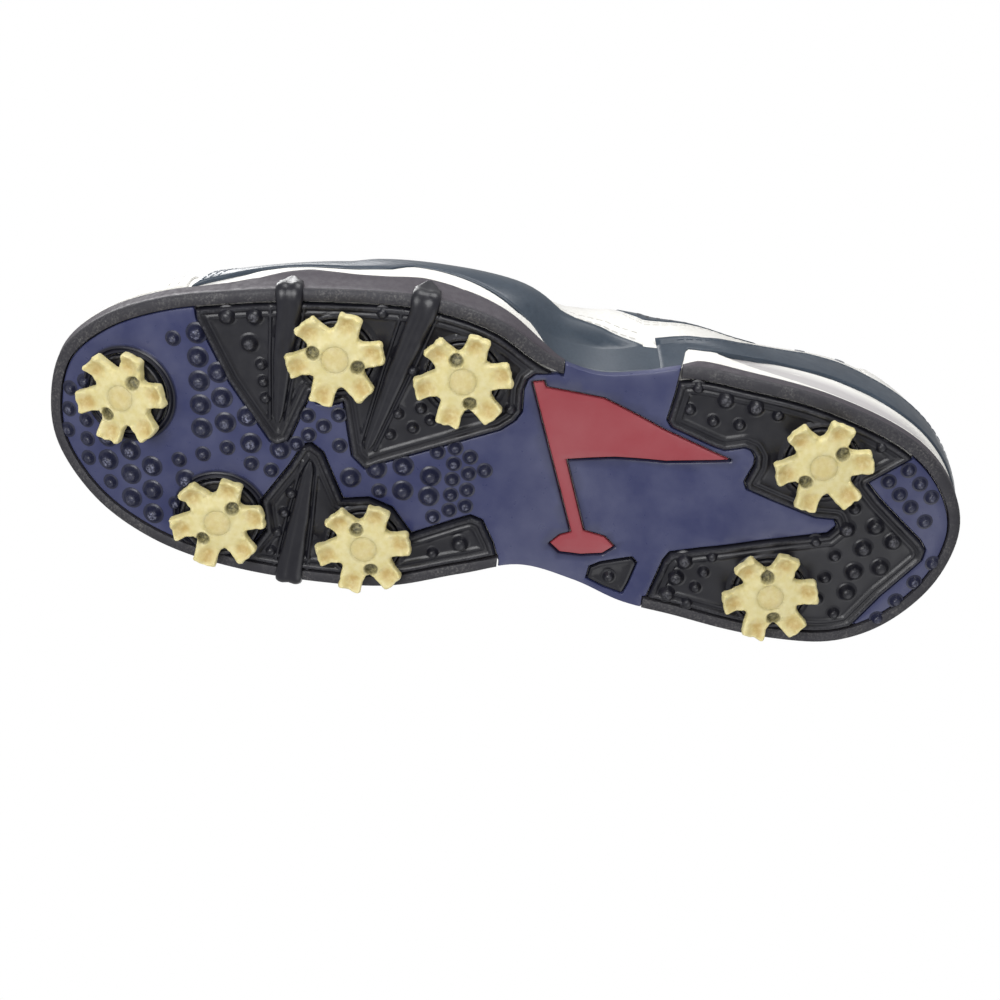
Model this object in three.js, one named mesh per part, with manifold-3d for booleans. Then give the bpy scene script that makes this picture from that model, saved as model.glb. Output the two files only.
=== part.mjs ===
// A left golf shoe with seven soft-spike cleats, in millimetres, +Z up.
// It stands on its cleats at z = 0, with the toe towards -Y and the outer (lateral) side towards +X.
import * as THREE from 'three';
import { mergeVertices } from 'three/addons/utils/BufferGeometryUtils.js';
import Module from 'manifold-3d';

const wasm = await Module();
wasm.setup();

// ---------------------------------------------------------------------------------------------
// Driving dimensions
// ---------------------------------------------------------------------------------------------
const TOE_Y = -148;
const HEEL_Y = 148.7;
const HEEL_X = -6;
const CENTRE_SHIFT = { x: -2.825, y: -1.135 };   // moves the middle of the box onto the origin

const GAP = 0.35;                // clearance between pieces that touch
const PLATE_BOTTOM = 8;          // navy plate, height of its lower face before the sole's rise
const PLATE_TOP = 11;
const INSERT_BOTTOM = 7;         // black inserts stand a little lower than the plate
const INSERT_TOP = 9.4;
const RIM_BOTTOM = 7.4;
const RIM_WIDTH = 3.7;
const RIM_WALL = 1.6;            // thickness of the rim's side wall
const FOAM_BOTTOM = PLATE_TOP + GAP;
const FOREFOOT_LEVEL = 17.5;     // height of the foot bed before the sole's rise
const HEEL_LEVEL = 25;
const BOARD_THICKNESS = 1.6;
const SOCKLINER_THICKNESS = 4.2;

const CLEAT_RADIUS = 15.7;
const CLEAT_ARMS = 6;
const CLEAT_FIRST_ARM = 15;      // degrees from +Y towards +X
const CLEAT_TOP = 5.6;
const WIDE_FLANGE = 13;          // receptacles that stand alone in the navy plate
const FLANGE = 11.4;             // receptacles inside the black inserts
const FLANGE_BOTTOM = 6;
const FLANGE_TOP = 8.4;
const BARREL_RADIUS = 8;
const BARREL_TOP = 10.6;
const BORE_RADIUS = 4.6;
const BORE_TOP = 9.9;
const POST_RADIUS = 4.1;

// Depths of the layers of the upper, measured inwards from the outer surface.
const SKIN = [0, 1.2];
const BASE = [2.7, 3.6];
const STIFFENER = [4.1, 5.0];
const LINING_DEPTH = 6.0;
const LINING_THICKNESS = 1.4;
const COLLAR_PAD = 2.8;
const THROAT_Q = 0.34;           // share of the half outline, from the toe, where the throat opens
const COLUMN_STEP = 1 / 28;      // spacing of the columns round the shoe, in the same shares

const COLOURS = {
  navyPlate: 0x33385c, black: 0x1d1d23, charcoal: 0x35343a, red: 0xb4484d, cream: 0xe7dca6,
  white: 0xf1f1ef, navyLeather: 0x2c3648, foam: 0xf6f6f4, grey: 0x8b8d92, board: 0xb9a98c,
  steel: 0x9b9ea3, textile: 0x3b4252,
};

// Outline of the sole, from the toe round the lateral side, the heel and back along the medial side.
const SOLE_POINTS = [
  [0, TOE_Y], [17.5, -144.5], [31.5, -131.5], [42, -111.5], [48.5, -85], [52, -57], [52.7, -27],
  [47.5, -4.5], [37.5, 12.5], [33, 28], [35, 42], [39, 56], [38.5, 72], [34, 101], [22.5, 130],
  [9, 143.3], [HEEL_X, HEEL_Y], [-24, 144.3], [-40, 130.6], [-48.3, 115], [-49.9, 95], [-46.5, 63],
  [-44.8, 44], [-38.8, 27.5], [-34.3, 9], [-39.3, -9.5], [-46.3, -32], [-47.8, -55], [-46, -83.5],
  [-39.7, -112.4], [-29.5, -132], [-14, -145.2],
];
const HEEL_INDEX = 16;

// Cleats: place, and the direction of the pair of wrench holes in degrees from +Y towards +X.
const CLEATS = [
  { name: 'toe', x: 9, y: -120.5, wrench: 55, flange: WIDE_FLANGE },
  { name: 'lateral_front', x: 31.5, y: -54.5, wrench: -12, flange: FLANGE },
  { name: 'lateral_rear', x: 29, y: -14.5, wrench: 112, flange: FLANGE },
  { name: 'medial_front', x: -28, y: -88.5, wrench: 52, flange: WIDE_FLANGE },
  { name: 'medial_rear', x: -31.5, y: -41, wrench: 113, flange: FLANGE },
  { name: 'heel_lateral', x: 14, y: 100.5, wrench: 47, flange: FLANGE },
  { name: 'heel_medial', x: -32.5, y: 91, wrench: 106, flange: FLANGE },
];

// The wall of the upper, station by station from the toe (q = 0) to the heel (q = 1).
// centre, half: middle and half width of the top line; topY, topZ: its place; flare: how far the foot
// of the wall stands outside the sole's edge; out, up: first bend of the wall, lateral and medial;
// outTop, upTop: last bend, from the top line; tuck: how far the sole's edge stands proud of the wall.
const STATION_KEYS = ['q', 'centre', 'half', 'topY', 'topZ', 'flareL', 'flareM', 'outL', 'outM', 'up',
  'outTop', 'upTop', 'tuck'];
const STATIONS = [
  [0.000, 0, 0, -120, 49.0, -0.4, -0.4, 5, 5, 13, 16, 0, 1.9],
  [0.107, 0, 0, -113, 51.5, -0.4, -0.4, 6, 6, 14, 17, 0, 1.9],
  [0.206, 1, 0, -97, 56.0, -0.5, -0.5, 9, 9, 19, 25, -1, 1.9],
  [0.285, 1.5, 0, -75, 61.5, -0.6, -0.6, 11, 11, 23, 31, -2, 1.9],
  [0.340, 1.5, 0, -54, 67.5, -0.6, -0.6, 12, 11, 26, 33, -3, 1.9],
  [0.365, 1.4, 8, -46, 69.5, -0.5, -0.5, 12.5, 11, 26, 30, -4, 1.9],
  [0.435, 0.5, 12, -20, 77.0, 0.5, 0.5, 14, 11, 24, 24, -10, 1.9],
  [0.530, -1.5, 15, 12, 87.0, 2.5, 2, 19, 12, 20, 18, -16, 1.2],
  [0.600, -3, 18, 38, 95.0, 4, 3, 24, 13, 15, 16, -22, 0.8],
  [0.685, -4, 27, 63, 86.0, 2, 1.5, 10, 8, 17, 10, -20, 1.3],
  [0.760, -5, 33, 88, 78.0, 0.6, 0.6, 3, 3, 18, 8, -18, 1.9],
  [0.840, -5.5, 31, 112, 79.0, 0.6, 0.6, 3, 3, 18, 8, -18, 1.9],
  [0.920, -6, 19, 131, 85.0, 0.8, 0.8, 4, 4, 20, 7, -20, 1.9],
  [1.000, -6, 0, 139, 89.0, 1, 1, 5, 5, 22, 6, -22, 1.9],
];

// ---------------------------------------------------------------------------------------------
// Small helpers
// ---------------------------------------------------------------------------------------------
const clamp = THREE.MathUtils.clamp;
const smoothstep = THREE.MathUtils.smoothstep;
const degrees = THREE.MathUtils.degToRad;

// Height that the sole gains at a place along its length: toe spring, arch and heel bevel.
function rise(y) {
  const toe = y < -86 ? 14 * ((-86 - y) / 62) ** 1.8 : 0;
  const arch = y > -5 && y < 80 ? 2.25 * (1 - Math.cos((2 * Math.PI * (y + 5)) / 85)) : 0;
  const heel = y > 125 ? 3 * ((y - 125) / 23) ** 2 : 0;
  return toe + arch + heel;
}

// Height of the foot bed, without the rise.
function footLevel(y) {
  return FOREFOOT_LEVEL + (HEEL_LEVEL - FOREFOOT_LEVEL) * smoothstep(y, -40, 60);
}

// A value read from a list of [position, value] pairs, straight between them.
function along(table, position) {
  if (position <= table[0][0]) return table[0][1];
  for (let i = 1; i < table.length; i += 1) {
    const [p1, v1] = table[i];
    const [p0, v0] = table[i - 1];
    if (position <= p1) return v0 + ((v1 - v0) * (position - p0)) / (p1 - p0);
  }
  return table[table.length - 1][1];
}

// Smooth value of one station column at q: a cubic through the stations with no overshoot at flats.
function stationValue(key, q) {
  const column = STATION_KEYS.indexOf(key);
  const last = STATIONS.length - 1;
  let i = 0;
  while (i < last - 1 && q > STATIONS[i + 1][0]) i += 1;
  const slope = (j) => {
    const a = STATIONS[Math.max(j - 1, 0)];
    const b = STATIONS[Math.min(j + 1, last)];
    return (b[column] - a[column]) / (b[0] - a[0]);
  };
  const [left, right] = [STATIONS[i], STATIONS[i + 1]];
  const span = right[0] - left[0];
  const t = clamp((q - left[0]) / span, 0, 1);
  const t2 = t * t;
  const t3 = t2 * t;
  return (2 * t3 - 3 * t2 + 1) * left[column] + (t3 - 2 * t2 + t) * span * slope(i)
    + (3 * t2 - 2 * t3) * right[column] + (t3 - t2) * span * slope(i + 1);
}

const soleCurve = new THREE.CatmullRomCurve3(
  SOLE_POINTS.map(([x, y]) => new THREE.Vector3(x, y, 0)), true, 'centripetal');
soleCurve.arcLengthDivisions = 1600;
const HEEL_SHARE = (() => {
  const lengths = soleCurve.getLengths(1600);
  return lengths[(HEEL_INDEX * 1600) / SOLE_POINTS.length] / lengths[1600];
})();

// Point and outward direction of the sole's edge; side is 1 lateral, -1 medial.
function soleEdge(side, q) {
  const share = side > 0 ? q * HEEL_SHARE : 1 - q * (1 - HEEL_SHARE);
  const u = ((share % 1) + 1) % 1;
  const point = soleCurve.getPointAt(u);
  const tangent = soleCurve.getTangentAt(u);
  return { x: point.x, y: point.y, nx: tangent.y, ny: -tangent.x };
}

// Closed outline of the sole, moved inwards by a distance, at the same places as the wall's columns.
function soleOutline(inwards) {
  const count = Math.round(1 / COLUMN_STEP);
  const points = [];
  for (let i = 0; i < 2 * count; i += 1) {
    const [side, q] = i <= count ? [1, i / count] : [-1, 2 - i / count];
    const edge = soleEdge(side, q);
    points.push([edge.x - edge.nx * inwards, edge.y - edge.ny * inwards]);
  }
  return points;
}

// A closed outline grown outwards by a distance, corner by corner.
function grow(points, distance) {
  const area = THREE.ShapeUtils.area(points.map(([x, y]) => new THREE.Vector2(x, y)));
  const sign = area > 0 ? 1 : -1;
  const count = points.length;
  return points.map((point, i) => {
    const before = points[(i + count - 1) % count];
    const after = points[(i + 1) % count];
    const a = new THREE.Vector2(point[0] - before[0], point[1] - before[1]).normalize();
    const b = new THREE.Vector2(after[0] - point[0], after[1] - point[1]).normalize();
    const normal = new THREE.Vector2(a.y + b.y, -(a.x + b.x)).normalize();
    const reach = (sign * distance) / Math.max(0.5, normal.dot(new THREE.Vector2(a.y, -a.x)));
    return [point[0] + normal.x * reach, point[1] + normal.y * reach];
  });
}

// ---------------------------------------------------------------------------------------------
// Solids and meshes
// ---------------------------------------------------------------------------------------------
function bare(geometry) {
  const copy = geometry.index ? geometry.toNonIndexed() : geometry.clone();
  copy.deleteAttribute('normal');
  copy.deleteAttribute('uv');
  return mergeVertices(copy, 1e-4);
}

function solid(geometry) {
  const merged = bare(geometry);
  return new wasm.Manifold(new wasm.Mesh({
    numProp: 3,
    vertProperties: new Float32Array(merged.attributes.position.array),
    triVerts: new Uint32Array(merged.index.array),
  }));
}

function toGeometry(manifold) {
  const data = manifold.getMesh();
  const geometry = new THREE.BufferGeometry();
  geometry.setAttribute('position', new THREE.BufferAttribute(new Float32Array(data.vertProperties), 3));
  geometry.setIndex([...data.triVerts]);
  return geometry;
}

function cutAll(body, cutters) {
  return cutters.reduce((rest, cutter) => rest.subtract(solid(cutter)), body);
}

function joinAll(body, additions) {
  return additions.reduce((whole, addition) => whole.add(solid(addition)), body);
}

// A flat outline raised between two heights.
function slab(points, low, high) {
  const shape = new THREE.Shape(points.map(([x, y]) => new THREE.Vector2(x, y)));
  const geometry = new THREE.ExtrudeGeometry(shape, { depth: high - low, bevelEnabled: false });
  geometry.translate(0, 0, low);
  return geometry;
}

// A round piece turned about +Z from [radius, height] pairs, placed at x, y.
function turned(profile, sides, x = 0, y = 0) {
  const geometry = new THREE.LatheGeometry(profile.map(([r, z]) => new THREE.Vector2(r, z)), sides);
  geometry.rotateX(Math.PI / 2);
  geometry.translate(x, y, 0);
  return geometry;
}

// A cone-shaped or straight round plug with its axis along +Z.
function plug(x, y, lowRadius, highRadius, low, high, sides) {
  const geometry = new THREE.CylinderGeometry(highRadius, lowRadius, high - low, sides);
  geometry.rotateX(Math.PI / 2);
  geometry.translate(x, y, (low + high) / 2);
  return geometry;
}

// A closed skin over triangles given as corner points; turned the right way out by its volume.
function fromTriangles(triangles) {
  let volume = 0;
  for (const [a, b, c] of triangles) volume += a.dot(new THREE.Vector3().crossVectors(b, c));
  const positions = [];
  for (const [a, b, c] of triangles) {
    const order = volume >= 0 ? [a, b, c] : [a, c, b];
    for (const p of order) positions.push(p.x, p.y, p.z);
  }
  const geometry = new THREE.BufferGeometry();
  geometry.setAttribute('position', new THREE.Float32BufferAttribute(positions, 3));
  return mergeVertices(geometry, 1e-3);
}

function quad(triangles, a, b, c, d) {
  triangles.push([a, b, c], [a, c, d]);
}

// Closed solid through rings of equal length, with flat ends or joined end to end.
function loft(rings, joined = false) {
  const triangles = [];
  const count = rings[0].length;
  const spans = joined ? rings.length : rings.length - 1;
  for (let i = 0; i < spans; i += 1) {
    const [near, far] = [rings[i], rings[(i + 1) % rings.length]];
    for (let j = 0; j < count; j += 1) {
      const k = (j + 1) % count;
      quad(triangles, near[j], near[k], far[k], far[j]);
    }
  }
  if (!joined) {
    for (let j = 1; j < count - 1; j += 1) {
      triangles.push([rings[0][0], rings[0][j + 1], rings[0][j]]);
      const end = rings[rings.length - 1];
      triangles.push([end[0], end[j], end[j + 1]]);
    }
  }
  return fromTriangles(triangles);
}

// Long edges are split until none runs further than this along the sole, then the sole is bent.
const BEND_STEP = 12;
function bend(geometry) {
  const merged = bare(geometry);
  const position = merged.attributes.position;
  let points = [];
  for (let i = 0; i < position.count; i += 1) {
    points.push(new THREE.Vector3().fromBufferAttribute(position, i));
  }
  let faces = [];
  for (let i = 0; i < merged.index.count; i += 3) {
    faces.push([merged.index.getX(i), merged.index.getX(i + 1), merged.index.getX(i + 2)]);
  }
  const bends = (y) => y < -86 || (y > -5 && y < 80) || y > 125;
  const isLong = (a, b) => Math.abs(points[a].y - points[b].y) > BEND_STEP
    && (bends(points[a].y) || bends(points[b].y) || bends((points[a].y + points[b].y) / 2));
  let changed = true;
  while (changed) {
    changed = false;
    const middles = new Map();
    const middle = (a, b) => {
      const key = a < b ? `${a}_${b}` : `${b}_${a}`;
      if (!middles.has(key)) {
        points.push(points[a].clone().lerp(points[b], 0.5));
        middles.set(key, points.length - 1);
      }
      return middles.get(key);
    };
    const next = [];
    for (const face of faces) {
      const long = [0, 1, 2].filter((i) => isLong(face[i], face[(i + 1) % 3]));
      if (long.length === 0) {
        next.push(face);
      } else {
        changed = true;
        next.push(...splitFace(face, long, middle));
      }
    }
    faces = next;
  }
  for (const point of points) point.z += rise(point.y);
  const result = new THREE.BufferGeometry();
  result.setAttribute('position', new THREE.Float32BufferAttribute(points.flatMap((p) => p.toArray()), 3));
  result.setIndex(faces.flat());
  return result;
}

// One triangle cut at the middles of its long edges.
function splitFace(face, long, middle) {
  if (long.length === 3) {
    const [a, b, c] = face;
    const [ab, bc, ca] = [middle(a, b), middle(b, c), middle(c, a)];
    return [[a, ab, ca], [ab, b, bc], [ca, bc, c], [ab, bc, ca]];
  }
  if (long.length === 1) {
    const i = long[0];
    const [a, b, c] = [face[i], face[(i + 1) % 3], face[(i + 2) % 3]];
    const ab = middle(a, b);
    return [[a, ab, c], [ab, b, c]];
  }
  const whole = [0, 1, 2].find((i) => !long.includes(i));
  const [a, b, c] = [face[whole], face[(whole + 1) % 3], face[(whole + 2) % 3]];
  const [bc, ca] = [middle(b, c), middle(c, a)];
  return [[a, b, bc], [a, bc, ca], [ca, bc, c]];
}

const shoe = new THREE.Group();
shoe.position.set(CENTRE_SHIFT.x, CENTRE_SHIFT.y, 0);

function add(name, geometry, color, roughness, metalness = 0, parent = shoe) {
  const material = new THREE.MeshStandardMaterial({ color, roughness, metalness });
  const mesh = new THREE.Mesh(geometry, material);
  mesh.name = name;
  parent.add(mesh);
  return mesh;
}

// ---------------------------------------------------------------------------------------------
// The wall of the upper
// ---------------------------------------------------------------------------------------------
// Point of the outer surface. v runs from -1 (sole's edge) through 0 (foot of the wall) to 1 (top line).
function wallSurface(side, q, v) {
  const crossed = q < 0 || q > 1;
  const s = crossed ? -side : side;
  const share = q < 0 ? -q : (q > 1 ? 2 - q : q);
  const get = (key) => stationValue(key, share);
  const edge = soleEdge(s, share);
  const flare = get(s > 0 ? 'flareL' : 'flareM');
  const lift = rise(edge.y);
  const foot = new THREE.Vector3(edge.x + edge.nx * flare, edge.y + edge.ny * flare,
    footLevel(edge.y) + lift);
  const tuck = get('tuck');
  const sole = new THREE.Vector3(edge.x - edge.nx * tuck, edge.y - edge.ny * tuck, FOAM_BOTTOM + lift);
  if (v < 0) return foot.lerp(sole, -v);
  const half = share <= THROAT_Q ? 0 : Math.max(0, get('half'));
  const top = new THREE.Vector3(get('centre') + s * half, get('topY'), get('topZ'));
  const outward = new THREE.Vector3(edge.x - top.x, edge.y - top.y, 0).normalize();
  const bendOut = get(s > 0 ? 'outL' : 'outM');
  const first = foot.clone().add(new THREE.Vector3(edge.nx * bendOut, edge.ny * bendOut, get('up')));
  const second = top.clone().addScaledVector(outward, get('outTop'));
  second.z += get('upTop');
  const w = 1 - v;
  return new THREE.Vector3()
    .addScaledVector(foot, w * w * w)
    .addScaledVector(first, 3 * w * w * v)
    .addScaledVector(second, 3 * w * v * v)
    .addScaledVector(top, v * v * v);
}

function wallNormal(side, q, v) {
  const step = 0.004;
  const alongWall = wallSurface(side, q + step, v).sub(wallSurface(side, q - step, v));
  const upWall = wallSurface(side, q, v + step).sub(wallSurface(side, q, v - step));
  return alongWall.cross(upWall).multiplyScalar(side).normalize();
}

// Point at a depth below the outer surface. Both sides share one normal where they meet on top.
function wallPoint(side, q, v, depth) {
  const point = wallSurface(side, q, v);
  const normal = wallNormal(side, q, v);
  if (v > 0.999 && q <= THROAT_Q) normal.add(wallNormal(-side, q, v)).normalize();
  return point.addScaledVector(normal, -depth);
}

// The v at which the outer surface reaches a height.
function heightOnWall(side, q, height) {
  let [low, high] = [-1, 1];
  for (let i = 0; i < 22; i += 1) {
    const middle = (low + high) / 2;
    if (wallSurface(side, q, middle).z < height) low = middle;
    else high = middle;
  }
  return (low + high) / 2;
}

// Columns round the wall. Positions run from 1 (heel) on the lateral side through 0 (toe)
// to -1 (heel) on the medial side, so that a run may cross the toe; runs across the heel go past 1.
function column(position) {
  const wrapped = position > 1 ? position - 2 : position;
  return { side: wrapped >= 0 ? 1 : -1, q: Math.abs(wrapped) };
}

function columnsBetween(from, to) {
  const positions = [from];
  for (let i = Math.ceil(from / COLUMN_STEP); i * COLUMN_STEP < to; i += 1) {
    const nearEnd = i * COLUMN_STEP - from < 0.003 || to - i * COLUMN_STEP < 0.003;
    if (!nearEnd) positions.push(i * COLUMN_STEP);
  }
  positions.push(to);
  return positions.map(column);
}

// A closed thin panel over a run of columns. low and high give its edges as v; outer and inner give
// its depths. sewn panels meet themselves on the ridge ahead of the throat.
function panel({ columns, low, high, outer, inner, rows, ring = false, sewn = false }) {
  const depthOf = (value, c, v) => (typeof value === 'function' ? value(c, v) : value);
  const grids = [outer, inner].map((depth) => columns.map((c) => {
    const [bottom, top] = [low(c), high(c)];
    const line = [];
    for (let j = 0; j <= rows; j += 1) {
      const v = bottom + ((top - bottom) * j) / rows;
      line.push(wallPoint(c.side, c.q, v, depthOf(depth, c, v)));
    }
    return line;
  }));
  const [out, back] = grids;
  const triangles = [];
  const count = columns.length;
  const spans = ring ? count : count - 1;
  for (let i = 0; i < spans; i += 1) {
    const k = (i + 1) % count;
    for (let j = 0; j < rows; j += 1) {
      quad(triangles, out[i][j], out[k][j], out[k][j + 1], out[i][j + 1]);
      quad(triangles, back[i][j], back[i][j + 1], back[k][j + 1], back[k][j]);
    }
    quad(triangles, out[i][0], back[i][0], back[k][0], out[k][0]);
    const closedTop = sewn && columns[i].q <= THROAT_Q + 1e-6 && columns[k].q <= THROAT_Q + 1e-6;
    if (!closedTop) quad(triangles, out[i][rows], out[k][rows], back[k][rows], back[i][rows]);
  }
  if (!ring) {
    const end = count - 1;
    for (let j = 0; j < rows; j += 1) {
      quad(triangles, out[0][j], out[0][j + 1], back[0][j + 1], back[0][j]);
      quad(triangles, out[end][j], back[end][j], back[end][j + 1], out[end][j + 1]);
    }
  }
  return fromTriangles(triangles);
}

// A sheet across the shoe between the two sides, as thick as its two heights are apart.
// inset and the heights are functions of the place along the sole.
function sheet(fromQ, toQ, count, inset, low, high) {
  const rings = [];
  for (let i = 0; i <= count; i += 1) {
    const q = fromQ + ((toQ - fromQ) * i) / count;
    const ring = [];
    for (const side of [1, -1]) {
      const edge = soleEdge(side, q);
      const d = inset(edge.y);
      const [x, y] = [edge.x - edge.nx * d, edge.y - edge.ny * d];
      const heights = side > 0 ? [low, high] : [high, low];
      for (const height of heights) ring.push(new THREE.Vector3(x, y, height(y) + rise(y)));
    }
    rings.push(ring);
  }
  return loft(rings);
}

// ---------------------------------------------------------------------------------------------
// Outsole: plate, rims, inserts
// ---------------------------------------------------------------------------------------------
const LATERAL_INSERT = [
  [60, -100.5], [45, -100.5], [37.5, -99], [18.5, -88], [0, -74], [-1, -71.5], [1, -68], [18, -62],
  [14.5, -60], [14.5, -55.5], [16, -51.5], [-2, -47.5], [-6, -43], [-3.5, -38.5], [4.5, -20],
  [12.5, -1.5], [16, 2.8], [19, 4.5], [26.5, 4.2], [30, 5.2], [32, 7.5], [32.5, 14], [36, 16.3], [60, 16.3],
];
const MEDIAL_INSERT = [
  [-60, -87], [-45, -86.5], [-40, -79], [-31, -73.5], [-20.8, -75.5], [-7.5, -67], [-0.5, -63.5],
  [0.7, -61], [-2, -57], [-17.5, -49.5], [-16, -41], [-18.5, -33.5], [-27, -26.5], [-20.5, -13],
  [-18.3, -8], [-19.5, -4.2], [-27, 0], [-33.5, 2.2], [-60, 2.2],
];
const HEEL_INSERT = [
  [60, 53], [38.5, 53], [29.3, 52.2], [20.6, 50.8], [18.5, 52.4], [14.3, 66.6], [13.8, 69.8],
  [15.7, 75.8], [15, 78.1], [12.8, 79.7], [10, 79.8], [4, 77.6], [1.7, 78.6], [-1.4, 88],
  [-5.3, 101.5], [-5.2, 108], [-7.5, 109.2], [-10.7, 106.6], [-16, 85.5], [-21.3, 67], [-24.5, 57.7],
  [-27.5, 56], [-38.9, 53.1], [-46.3, 51], [-60, 51], [-60, 112.5], [-46.8, 116], [-30, 127],
  [-16.5, 138], [-12.9, 138.5], [-9.9, 136.3], [3, 121], [8.3, 115.8], [20.6, 131.3], [34, 148], [60, 140],
];
const WAIST_PAD = [[-37.5, 32], [-33.6, 32.6], [-31.8, 35.7], [-28.6, 45.8], [-30.1, 47.3],
  [-37.7, 45.4], [-41.5, 44], [-40, 38]];

// Sole emblem: a pennant on a flagstick that stands in a ring.
const EMBLEM = [
  [29, 7], [29.5, 10.5], [27.5, 11.5], [25, 30], [17, 50], [10.5, 72], [6.5, 52], [5.5, 36], [3.5, 20.5],
  [-21, 29], [-22.5, 36], [-25.5, 39.5], [-28.5, 36], [-29.5, 29], [-29, 22], [-26, 18.5], [-23, 21.5],
  [-21.8, 25],
];

// Rows of moulded nubs: first place, last place and how many.
const NUB_ROWS = {
  plate: [
    [[-7.5, -127.5], [-15.5, -127], 2], [[-10.5, -119.5], [-27, -118.5], 3],
    [[-14.5, -112], [-31, -111], 3], [[33, -99], [1.5, -96], 5], [[21, -91.5], [4.5, -88.5], 3],
    [[7.5, -81.5], [-1.5, -80], 2], [[-2.5, -70.5], [-2.5, -70.5], 1], [[-17, -100.5], [-17, -100.5], 1],
    [[-9.5, -47.5], [-5.5, -39.5], 2], [[-3.5, -31], [-12, -30.5], 2], [[-6, -22], [-13, -22], 2],
  ],
  lateral: [[[40, -89.5], [41, -81], 2], [[32, -82], [32, -82], 1]],
  medial: [[[-28, -10.5], [-28, -10.5], 1]],
  heel: [
    [[30.5, 67.5], [29.5, 77], 2], [[-8, 112], [-20, 125], 3], [[-6, 121], [-10.5, 127.5], 2],
    [[-22.5, 117], [-30, 116], 2], [[-26, 62.5], [-38.5, 58.5], 3],
  ],
};
const NUB = { foot: 3.0, tip: 1.4, height: 2.9, sides: 5 };
const HOLE_SIDES = 14;

// Tapered nubs that stand down from a face.
function nubs(place, face) {
  return NUB_ROWS[place].flatMap(([first, last, count]) => Array.from({ length: count }, (_, i) => {
    const t = count > 1 ? i / (count - 1) : 0;
    const x = first[0] + (last[0] - first[0]) * t;
    const y = first[1] + (last[1] - first[1]) * t;
    return plug(x, y, NUB.tip, NUB.foot, face - NUB.height, face + 0.4, NUB.sides);
  }));
}

const flangeHoles = (low, high) => CLEATS.map((c) => plug(c.x, c.y, c.flange + GAP, c.flange + GAP,
  low, high, HOLE_SIDES));
const barrelHoles = () => CLEATS.map((c) => plug(c.x, c.y, BARREL_RADIUS + 1, BARREL_RADIUS + 1,
  0, 20, HOLE_SIDES));

// The rims lie outside these lines: everything ahead of the first and behind the second.
const FOREFOOT_ZONE = [[-80, -170], [80, -170], [80, 16.3], [0, 16.3], [0, 2.2], [-80, 2.2]];
const HEEL_ZONE = [[-80, 51], [0, 51], [0, 53], [80, 53], [80, 170], [-80, 170]];
const innerEdge = slab(soleOutline(RIM_WIDTH + GAP), 0, 20);

function rimZone(zone) {
  return solid(slab(zone, 0, 20)).subtract(solid(innerEdge));
}

function outsolePlate() {
  const pockets = [LATERAL_INSERT, MEDIAL_INSERT, HEEL_INSERT, WAIST_PAD, EMBLEM];
  let body = solid(slab(soleOutline(0), PLATE_BOTTOM, PLATE_TOP));
  body = joinAll(body, nubs('plate', PLATE_BOTTOM));
  body = body.subtract(rimZone(FOREFOOT_ZONE)).subtract(rimZone(HEEL_ZONE));
  body = cutAll(body, pockets.map((outline) => slab(grow(outline, GAP), 0, INSERT_TOP + GAP)));
  body = cutAll(body, [...flangeHoles(0, FLANGE_TOP + GAP), ...barrelHoles()]);
  return bend(toGeometry(body));
}

function insert(outline, place, fins = []) {
  let body = joinAll(solid(slab(outline, INSERT_BOTTOM, INSERT_TOP)), nubs(place, INSERT_BOTTOM));
  body = body.intersect(solid(slab(soleOutline(RIM_WIDTH + 2 * GAP), 0, 20)));
  body = cutAll(body, flangeHoles(0, 20));
  const bent = bend(toGeometry(body));
  return fins.length ? toGeometry(joinAll(solid(bent), fins)) : bent;
}

// Heights of the rim's side wall and of the midsole's stripe above it, along the sole.
const LATERAL_WALL = [[-148, 14.5], [-110, 15.5], [-95, 17.5], [-73, 19], [-60, 18.5], [-42, 19.3],
  [-34, 19.5], [-20, 19], [-5, 16.5], [8, 13.5], [17, 12.2], [50, 12], [56, 13], [80, 13.5], [149, 13.5]];
const MEDIAL_WALL = [[-148, 14.5], [-110, 15.5], [-90, 18], [-70, 19], [-45, 18.5], [-25, 17.5],
  [-10, 14.5], [2, 12.2], [48, 12], [56, 13], [80, 13.5], [149, 13.5]];
const LATERAL_STRIPE = [[-148, 18.3], [-110, 18.6], [-95, 20], [-73, 22], [-60, 21], [-48, 23], [-34, 27],
  [-20, 25.5], [-5, 21.5], [8, 17.5], [15, 17.3], [50, 22], [56, 24.5], [66, 25], [80, 26.8], [103, 29],
  [116, 28.6], [149, 27.5]];
const MEDIAL_STRIPE = [[-148, 18.3], [-110, 18.6], [-90, 20.5], [-60, 22.5], [-40, 23.5], [-22, 21.5],
  [-8, 18], [2, 17.5], [48, 22], [56, 24.5], [66, 25], [80, 26.8], [103, 29], [116, 28.6],
  [149, 27.5]];

const wallTop = (side, y) => along(side > 0 ? LATERAL_WALL : MEDIAL_WALL, y) + rise(y);
const stripeTop = (side, y) => Math.max(
  along(side > 0 ? LATERAL_STRIPE : MEDIAL_STRIPE, y), footLevel(y) + 0.4) + rise(y);

// Places up the wall, as v, of the levels that the rim's side wall and the midsole share.
function wallLevels(side, q) {
  const { y } = soleEdge(side, q);
  const low = FOAM_BOTTOM + rise(y);
  return [0.3, 0.65, 1].map((share) => heightOnWall(side, q, low + (wallTop(side, y) - low) * share));
}

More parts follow.
